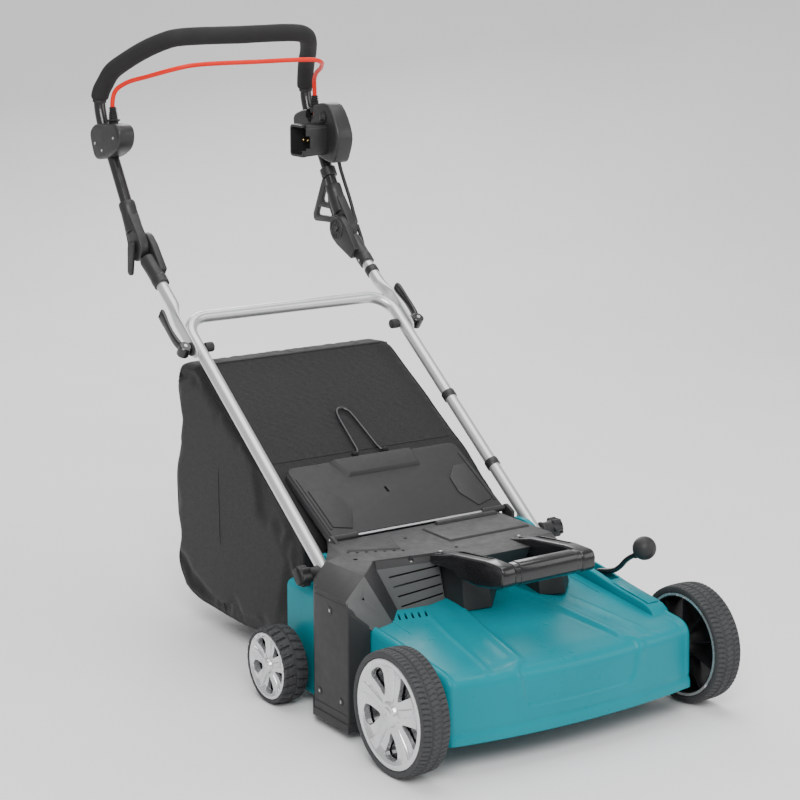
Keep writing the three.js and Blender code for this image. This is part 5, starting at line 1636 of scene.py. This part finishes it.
# cut the tube, the bail pivot, a slot and the button hole out of the shell; the parting seam round it is not built
boolean(sh, cutb)
finish_part(sh, "switch_housing_visual", "upper_handle", ["switch_housing"])
for k, (y, z) in enumerate(((990, 850), (1112, 868), (1050, 905), (1010, 826))):
    screw("switch_housing_screw_%d" % k, (244.6, y, z), (1, 0, 0), 2.8, "upper_handle")
# raised collar round the lock-off button
lathe("button_collar", [(8.5, 208.2), (11.0, 208.2), (11.6, 207.4), (11.6, 204.6), (10.8, 203.8), (8.5, 203.8)], "housing", "upper_handle", 48, "X", (0, 1018, 900), closed=True)
btn = lathe("lock_off_button_visual", [(0, 201.6), (5.2, 201.8), (7.2, 202.6), (8.0, 204.0), (8.0, 208.4), (0, 208.4)], "housing", "lock_off_button", 44, "X", (0, 1018, 900), replaces=["lock_off_button"])
# plug shroud: square trumpet with a thick rim, open end to the left
out_ = rect_r(1002, 1050, 826, 886, 7.0, 6)
inn_ = rect_r(1005.2, 1046.8, 829.2, 882.8, 5.0, 6)
vs, fs = [], []
st_o = [(206.7, 1.0), (190, 1.0), (176, 0.0), (164, -0.6), (158, -1.6), (153, -1.6), (151.4, -0.4)]
st_i = [(151.4, 0.4), (153, -0.2), (170, 0.6), (200, 1.2), (202, 2.0)]
cy_, cz_ = 1026, 856
n = len(out_)
for x, d in st_o:
    for y, z in out_:
        L = math.hypot(y - cy_, z - cz_)
        k = (L - d) / L
        vs.append((x, cy_ + (y - cy_) * k, cz_ + (z - cz_) * k))
for x, d in st_i:
    for y, z in inn_:
        L = math.hypot(y - cy_, z - cz_)
        k = (L - d) / L
        vs.append((x, cy_ + (y - cy_) * k, cz_ + (z - cz_) * k))
m = len(st_o) + len(st_i)
for i in range(m - 1):
    for j in range(n):
        k = (j + 1) % n
        fs.append([i * n + j, i * n + k, (i + 1) * n + k, (i + 1) * n + j])
fs.append(list(range(n))[::-1])
fs.append([(m - 1) * n + j for j in range(n)])
shr = make("shr", vs, fs, "housing")
rb = []
for q in (1014, 1026, 1038):
    rb.append(blockm("rb", 160, 205, q - 1, q + 1, 885.2, 887.6, "housing", None, 0.6, 2))
boolean(shr, [bx(148, 169, 998, 1008, 842, 866, "housing"), bx(148, 160, 998, 1008, 838, 890, "housing")])
shr = join("plug_shroud_visual", [shr] + rb)
finish_part(shr, "plug_shroud_visual", "upper_handle", ["plug_shroud"])
pins = [blockm("ins", 197, 201.6, 1010, 1042, 838, 874, "brass", None, 1.4, 3)]
for y in (1018, 1034):
    pins.append(lathe("pin", [(0, 170), (1.6, 170.2), (2.4, 171.4), (2.4, 199), (0, 199)], "brass", None, 24, "X", (0, y, 856)))
pins = join("inlet_pins_visual", pins)
finish_part(pins, "inlet_pins_visual", "upper_handle", ["inlet_pins"])

# ------------------------------------------------------------------ bail and its boots
hb = [(220, 1068, 893), (220, 1069, 920), (220.6, 1070, 946), (217, 1065, 966), (207, 1042, 982), (185, 988, 998), (155, 940, 1013), (128, 925, 1019)]
cb = [(-x, y, z) for x, y, z in hb] + [(0, 926, 1020)] + hb[::-1]
bt = catmull(cb, 8)
bl = tube("bail_rod", bt, 4.25, "red", None, 24)
hubs = [lathe("hub", [(0, s * 214), (5.6, s * 214), (6.5, s * 215), (6.5, s * 230), (5.6, s * 231), (0, s * 231)], "housing", None, 32, "X", (0, 1068, 893)) for s in (-1, 1)]
bl = join("bail_visual", [bl] + hubs)
finish_part(bl, "bail_visual", "bail", ["bail"])
for s in (-1, 1):
    tag = "right" if s > 0 else "left"
    pr = [(5.4, 0)]
    for k in range(7):
        r = 8.4 - 0.28 * k
        pr += [(r - 1.5, 0.3 + k * 3.5), (r, 1.2 + k * 3.5), (r, 2.3 + k * 3.5), (r - 1.5, 3.2 + k * 3.5)]
    pr += [(6.2, 25.2), (5.4, 25.2)]
    pr = [(5.4, -8.0), (8.8, -8.0), (9.4, -2.0), (11.5, -1.5), (12.3, -0.7), (12.3, 1.2), (11.0, 2.2)] + pr[1:]
    pr = [(r + (0.9 if 0.3 < h < 24 and r > 6 else 0), h) for r, h in pr]
    lathe_on("bail_boot_visual_" + tag, pr, "rubber", "upper_handle", (s * 220.1, 1069.2, 912), (s * 220.5, 1070, 937), 40, ["bail_boot_" + tag], 28, True)

# ------------------------------------------------------------------ cable hook
hk_pts = [(1026, 786), (1034, 789), (1042, 786), (1052, 766), (1068, 732), (1082, 702), (1081, 692), (1074, 688), (1040, 690), (1010, 691), (1003, 696), (1003, 703), (1012, 735), (1020, 764)]
hk = prism("hk", hk_pts, 222, 230, "housing", None, 0, 0)
w1 = prism("c", [(1032, 762), (1037, 763), (1049, 734), (1046, 730.5), (1029, 729.5), (1026.5, 732)], 215, 236, "housing", None, 0)
w2 = prism("c", [(1021, 718), (1061, 718.5), (1067.5, 704), (1064, 701.5), (1015, 703.5), (1013, 706)], 215, 236, "housing", None, 0)
tcut = tube("c", [Vector((226, 975, 702.7)), Vector((226, 1010, 759)), Vector((226, 1064, 845))], 11.5, "housing", None, 30, ends="flat")
scut = lathe_on("c", [(0, -2), (17, -2), (17, 75), (0, 75)], "housing", None, (226, *along(ELB, 58, 20)), (226, *along(ELB, 58, 93)), 30)
boolean(hk, [w1, w2])
bevel(hk, 1.5, 3, 30)
apply_mods(hk)
boolean(hk, [tcut, scut])
d = Vector((0, 10, 16)).normalized()
cu = lathe_on("cu", [(11.5, 0), (14.6, 0), (15.6, 1), (15.6, 17.4), (14.6, 18.4), (11.5, 18.4)], "housing", None, (226, 1024, 781), (226, 1034, 797), 44, closed=True)
hk = join("cable_hook_visual", [hk, cu])
finish_part(hk, "cable_hook_visual", "upper_handle", ["cable_hook"])

# ------------------------------------------------------------------ height lever and ball
lv = catmull([(227, 160, 97), (227, 172, 130), (228, 182, 165), (229, 181, 181), (230, 172, 190), (230, 150, 196), (230, 128, 203), (230, 112, 214), (230, 98, 228), (230, 84, 238), (230, 68, 246), (230, 60, 250)], 6)
l1 = tube("l", lv, 4.5, "btube", None, 24)
l2 = slabm("l2", (160, 95), 90, rect_r(-38, 9, -7.5, 7.5, 6.5), 224, 229, "btube", None, 0.9)
boolean(l2, [cyl((220, 160, 65), (234, 160, 65), 4.6, "btube", 24)])
l3 = lathe("l3", [(0, 226), (3.8, 226), (4.0, 226.3), (4.0, 248.6), (3.4, 249), (0, 249)], "btube", None, 28, "X", (0, 160, 95))
l4 = lathe_on("l4", [(4.6, 0), (6.2, 0.6), (6.2, 3.4), (4.6, 4)], "btube", None, (230, 74, 243), (230, 60, 250), 28, closed=True)
lvr = join("height_lever_visual", [l1, l2, l3, l4])
finish_part(lvr, "height_lever_visual", "height_lever", ["height_lever"])
BC = Vector((230, 51, 261))
ax = (Vector((230, 60, 250)) - BC).normalized()
pr = []
for k in range(33):
    a = math.pi * k / 32
    r = 20.0
    rr_ = r * math.sin(a)
    h_ = -r * math.cos(a)
    pr.append((rr_, h_))
pr = [p for p in pr if not (p[1] > 14 and p[0] < 6.0)]
pr += [(6.4, 17.5), (5.4, 16.4), (5.4, 10), (0, 10)]
pr[0] = (0, -20.0)
ballo = lathe_on("lever_ball_visual", pr, "black", "height_lever", tuple(BC), tuple(BC + ax), 56, ["lever_ball"], 40)
lathe_on("ball_seam", [(19.95, -0.5), (20.12, -0.25), (20.12, 0.25), (19.95, 0.5), (19.4, 0)], "black", "height_lever", tuple(BC), tuple(BC + ax), 64, (), 60, True)
# gate plate with detent notches beside the slot
gate = []
for k in range(6):
    y = 128 + k * 10.5
    z = float(np.interp(y, TOPY, TOPZ)) + float(boss_h(y))
    gate.append(blockm("n", 239.0, 242.2, y, y + 3.2, z - 1.5, z + 1.8, "teal", None, 0.6, 2))
gate = join("lever_gate", gate)
finish_part(gate, "lever_gate", "deck")

# ------------------------------------------------------------------ lead along the right tubes
CR = 3.5
up_pts = catmull([(236, 1006, 811), (240, 1006, 796), (247, 1004, 772), (252, 994, 742), (252, 978, 712), (252, 968, 694)], 8)
tube("lead_upper_visual", up_pts, CR, "rubber", "upper_handle", 20, ["lead_upper"])
Pm = lambda p, x, s_, o: (x, *along(p, LD, s_, o))
mid = catmull([(252, 966, 690.5), (251, 950, 668), (243, 920, 636), Pm(CAMP, 235, 110, 19), Pm(CAMP, 234.6, 60, 19), Pm(CAMP, 234.6, -20, 19)], 10)
tube("lead_middle_visual", mid, CR, "rubber", "middle_handle", 20, ["lead_middle"])
lowp = catmull([Pm(CAMP, 234.6, -22, 19), Pm(CAMP, 235.5, -50, 17), Pm(CAMP, 236, -90, 13), Pm(PIV, 236, 300, 11), Pm(PIV, 236, 180, 11), Pm(PIV, 234, 110, 13), Pm(PIV, 227, 70, 18)], 10)
tube("lead_lower_visual", lowp, CR, "rubber", "lower_handle", 20, ["lead_lower"])
e = along(PIV, LD, 69, 18)
en = catmull([(227, *e), (227, e[0] - 6, e[1] - 6), (226, e[0] - 9, e[1] - 16), (226, e[0] - 10, 212), (226, e[0] - 10, 204)], 8)
l1 = tube("e", en, CR, "rubber", None, 20)
gl = lathe_on("g", [(0, 0)] + [(8.0, 0.2), (8.0, 2.6), (6.4, 3.4), (6.2, 5), (7.0, 6), (7.0, 8), (5.6, 9), (5.4, 11), (6.2, 12), (6.2, 14), (4.9, 15), (4.8, 18), (5.2, 19), (5.0, 22), (4.2, 25.5), (0, 25.5)], "rubber", None, (226, e[0] - 10, 196.3), (226, e[0] - 10, 222), 36)
le = join("lead_entry_visual", [l1, gl])
finish_part(le, "lead_entry_visual", "deck", ["lead_entry"])
# spring clips that hold the lead to the tubes
for k, (p, s_, x, off, xc, body, r) in enumerate(((CAMP, 140, 237.5, 19, 223, "middle_handle", 11), (PIV, 330, 236, 11, 219, "lower_handle", 11), (PIV, 160, 236, 11, 219, "lower_handle", 11))):
    a_, b_ = along(p, LD, s_ - 7), along(p, LD, s_ + 7)
    rg = lathe_on("rg", [(11.1, 0), (12.6, 0), (12.9, 0.6), (12.9, 13.4), (12.6, 14), (11.1, 14)], "housing", None, (xc, *a_), (xc, *b_), 40, closed=True)
    c_ = along(p, LD, s_ - 6, off)
    d_ = along(p, LD, s_ + 6, off)
    r2 = lathe_on("r2", [(3.6, 0), (5.2, 0), (5.5, 0.6), (5.5, 11.4), (5.2, 12), (3.6, 12)], "housing", None, (x, *c_), (x, *d_), 32, closed=True)
    pa, pb = Vector((xc, *along(p, LD, s_))), Vector((x, *along(p, LD, s_, off)))
    dd_ = (pb - pa).normalized()
    web = tube("w", [pa + dd_ * 11.6, pb - dd_ * 3.8], (2.2, 5.0), "housing", None, 16, (), "flat", None, tuple((Vector((0, *along((0, 0), LD, 1)))).cross(dd_)))
    cp = join("lead_clip_%d" % k, [rg, r2, web])
    finish_part(cp, "lead_clip_%d" % k, body)

# ------------------------------------------------------------------ drive and tine reel
RY_, RZ_ = 205.0, 78.0
MY_, MZ_ = 251.0, 212.0
core = lathe("core", [(10.5, -176), (18.2, -176), (19, -175), (19, 175), (18.2, 176), (10.5, 176)], "steel", None, 48, "X", (0, RY_, RZ_), closed=True)
rp = [core]
for i in range(14):
    x = -163 + i * 25
    rp.append(lathe("collar", [(18.9, x - 4.5), (21.5, x - 4.0), (21.5, x + 7.0), (18.9, x + 7.5)], "steel", None, 36, "X", (0, RY_, RZ_), closed=True))
    for o in (0, 180):
        a = math.radians(i * 77 + o)
        pts = []
        for u_, v_ in ((-7, 16), (7, 16), (5.4, 38), (6.2, 50), (9.5, 60), (14, 69), (11.5, 70.2), (8, 70), (2.5, 62), (-3.2, 52), (-5.6, 38)):
            pts.append((RY_ + u_ * math.cos(a) - v_ * math.sin(a), RZ_ + u_ * math.sin(a) + v_ * math.cos(a)))
        rp.append(prism("tine", pts, x, x + 3, "steel", None, 0.6, 2))
reel = join("tine_reel_visual", rp)
finish_part(reel, "tine_reel_visual", "reel", ["tine_reel"])
lathe("reel_shaft_visual", [(0, -281), (9.0, -281), (10, -280), (10, 202), (9, 203), (0, 203)], "steel", "reel", 40, "X", (0, RY_, RZ_), replaces=["reel_shaft"])
for s in (-1, 1):
    tag = "right" if s > 0 else "left"
    x0, x1 = (184, 199) if s > 0 else (-199, -184)
    pr = [(10.5, x0), (13.5, x0), (13.8, x0 + 0.8), (16.6, x0 + 0.8), (16.9, x0), (19.4, x0), (20, x0 + 0.6), (20, x1 - 0.6), (19.4, x1), (16.9, x1), (16.6, x1 - 0.8), (13.8, x1 - 0.8), (13.5, x1), (10.5, x1)]
    lathe("reel_bearing_visual_" + tag, pr, "steel", "deck", 48, "X", (0, RY_, RZ_), True, ["reel_bearing_" + tag])


def pulley(name, r, hub, c, body, node):
    x0, x1 = -278, -263
    pr = [(hub, x0), (r - 0.6, x0), (r, x0 + 0.6), (r, x0 + 2), (r - 2.6, x0 + 4), (r - 2.6, x1 - 4), (r, x1 - 2), (r, x1 - 0.6), (r - 0.6, x1), (hub, x1)]
    return lathe(name, pr, "steel", body, 56, "X", (0, *c), True, node)


pulley("reel_pulley_visual", 34, 10.5, (RY_, RZ_), "reel", ["reel_pulley"])
arm = [lathe("a", [(0, -281), (4.4, -281), (5, -280.4), (5, -176), (5, -70.4), (4.4, -70), (0, -70)], "steel", None, 32, "X", (0, MY_, MZ_)), pulley("p", 15, 4, (MY_, MZ_), None, ())]
seg_ = []
for k in range(20):
    a0, a1 = 2 * math.pi * k / 20, 2 * math.pi * (k + 0.78) / 20
    pts = [(MY_ + r * math.cos(a), MZ_ + r * math.sin(a)) for r, a in ((7, a0), (24, a0), (24, (a0 + a1) / 2), (24, a1), (7, a1))]
    seg_.append(prism("lam", pts, -176, -84, "motor", None, 0.5, 2))
arm = join("motor_armature_visual", arm + seg_)
finish_part(arm, "motor_armature_visual", "armature", ["motor_armature"])
hs = [lathe("h", [(5.4, -194), (11, -194), (12, -193), (12, -188.4), (29, -188), (32, -186.5), (32.5, -184), (32.5, -64), (31.5, -61), (29, -60), (12, -60), (12, -62.5), (30, -63), (30, -185), (5.4, -185.5)], "motor", None, 60, "X", (0, MY_, MZ_), closed=True)]
for k in range(10):
    a = 2 * math.pi * k / 10
    hs.append(tube("fin", [(-180, MY_ + 32.3 * math.cos(a), MZ_ + 32.3 * math.sin(a)), (-70, MY_ + 32.3 * math.cos(a), MZ_ + 32.3 * math.sin(a))], 0.9, "motor", None, 8))
hs = join("motor_housing_visual", hs)
finish_part(hs, "motor_housing_visual", "deck", ["motor_housing"])


def belt_loop(r1, r2, n):
    d = math.hypot(MY_ - RY_, MZ_ - RZ_)
    th = math.atan2(MZ_ - RZ_, MY_ - RY_)
    b = math.acos((r1 - r2) / d)
    out = []
    for i in range(n + 1):
        a = th + b + (2 * math.pi - 2 * b) * i / n
        out.append((RY_ + r1 * math.cos(a), RZ_ + r1 * math.sin(a)))
    for i in range(n + 1):
        a = th - b + 2 * b * i / n
        out.append((MY_ + r2 * math.cos(a), MZ_ + r2 * math.sin(a)))
    return out


vs, fs = [], []
lo, li = belt_loop(36.2, 17.2, 40), belt_loop(32.4, 13.4, 40)
n = len(lo)
for x in (-273.4, -267.6):
    vs += [(x, y, z) for y, z in lo]
    vs += [(x, y, z) for y, z in li]
for j in range(n):
    k = (j + 1) % n
    fs += [[j, k, 2 * n + k, 2 * n + j], [n + k, n + j, 3 * n + j, 3 * n + k], [j, n + j, n + k, k], [2 * n + k, 3 * n + k, 3 * n + j, 2 * n + j]]
make("drive_belt_visual", vs, fs, "rubber", "deck", ["drive_belt"], 40)

# ------------------------------------------------------------------ axles and height adjustment
fa = [lathe("a", [(0, -262), (5.4, -262), (6, -261.4), (6, 261.4), (5.4, 262), (0, 262)], "steel", None, 32, "X", (0, 60, 118))]
dC = math.hypot(60, 18)
gC = math.degrees(math.atan2(18, 60))
for s in (-1, 1):
    X = (lambda a, b: (a, b)) if s > 0 else (lambda a, b: (-b, -a))
    fa.append(slabm("arm", (0, 100), gC, rect_r(-9.5, dC + 9.5, -9.5, 9.5, 9.2, 7), *X(252, 262), "steel", None, 1.0))
    a_, b_ = X(254, 319)
    fa.append(lathe("stub", [(0, a_), (5.2, a_), (6, a_ + 0.8), (6, b_ - 0.8), (5.2, b_), (0, b_)], "steel", None, 32, "X", (0, 0, 100)))
hn = slabm("horn", (60, 58), 90, rect_r(-8, 66, -7.5, 7.5, 6.8, 7), 214, 218, "steel", None, 0.6)
boolean(hn, [cyl((210, 60, 58), (222, 60, 58), 4.6, "steel", 24)])
fa.append(hn)
fa = join("front_axle_visual", fa)
finish_part(fa, "front_axle_visual", "front_axle", ["front_axle"])
gl2 = math.degrees(math.atan2(7, 100))
dl = [slabm("dl", (60, 58), gl2, rect_r(-8, 108.2, -7.2, 7.2, 6.6, 7), 219, 223, "steel", None, 0.6)]
dl.append(lathe("p1", [(0, 211), (3.4, 211), (4, 211.6), (4, 222), (0, 222)], "steel", None, 28, "X", (0, 60, 58)))
dl.append(lathe("p2", [(0, 221), (4, 221), (4, 229.4), (3.4, 230), (0, 230)], "steel", None, 28, "X", (0, 160, 65)))
dl = join("depth_link_visual", dl)
finish_part(dl, "depth_link_visual", "depth_link", ["depth_link"])
lathe("rear_axle_visual", [(0, -314), (5.2, -314), (6, -313.2), (6, 313.2), (5.2, 314), (0, 314)], "steel", "deck", 36, "X", (0, 376, 65.2), replaces=["rear_axle"])
for s in (-1, 1):
    tag = "right" if s > 0 else "left"
    lathe("axle_spacer_" + tag, [(6.3, s * 248.4), (9.5, s * 248.4), (9.5, s * 263), (6.3, s * 263)], "black", "deck", 32, "X", (0, 376, 65.2), True)

# ------------------------------------------------------------------ floor
fv, ff = [], []
prof_f = [(-8 + 10.5 * k / 30, 0.0) for k in range(31)] + [(2.5 + 3.0 * math.sin(math.pi / 2 * k / 24), 3.0 * (1 - math.cos(math.pi / 2 * k / 24))) for k in range(1, 25)] + [(5.5, 3.0 + 0.6 * k) for k in range(1, 9)]
yaw = math.radians(-33.8)
for q, z in prof_f:
    for x in (-12, 12):
        fv.append((x * math.cos(yaw) - q * math.sin(yaw), x * math.sin(yaw) + q * math.cos(yaw), z))
for i in range(len(prof_f) - 1):
    ff.append([2 * i, 2 * i + 1, 2 * i + 3, 2 * i + 2])
fme = D.meshes.new("floor")
fme.from_pydata(fv, [], ff)
floor = D.objects.new("floor", fme)
scene.collection.objects.link(floor)
for p in fme.polygons:
    p.use_smooth = True
floor.location.z = -0.0006
m, t, b, o = nt("floor_paint")
nz = noise_node(t, o, 2.2, 4, 0.5)
gr = noise_node(t, o, 500, 3, 0.6)
link(t, mixc(t, rng(t, nz, 0, 1), (0.90, 0.90, 0.90), (0.93, 0.93, 0.93)), b.inputs["Base Color"])
link(t, rng(t, gr, 0.85, 0.95), b.inputs["Roughness"])
b.inputs["Specular IOR Level"].default_value = 0.15
fme.materials.append(m)

bpy.context.view_layer.update()
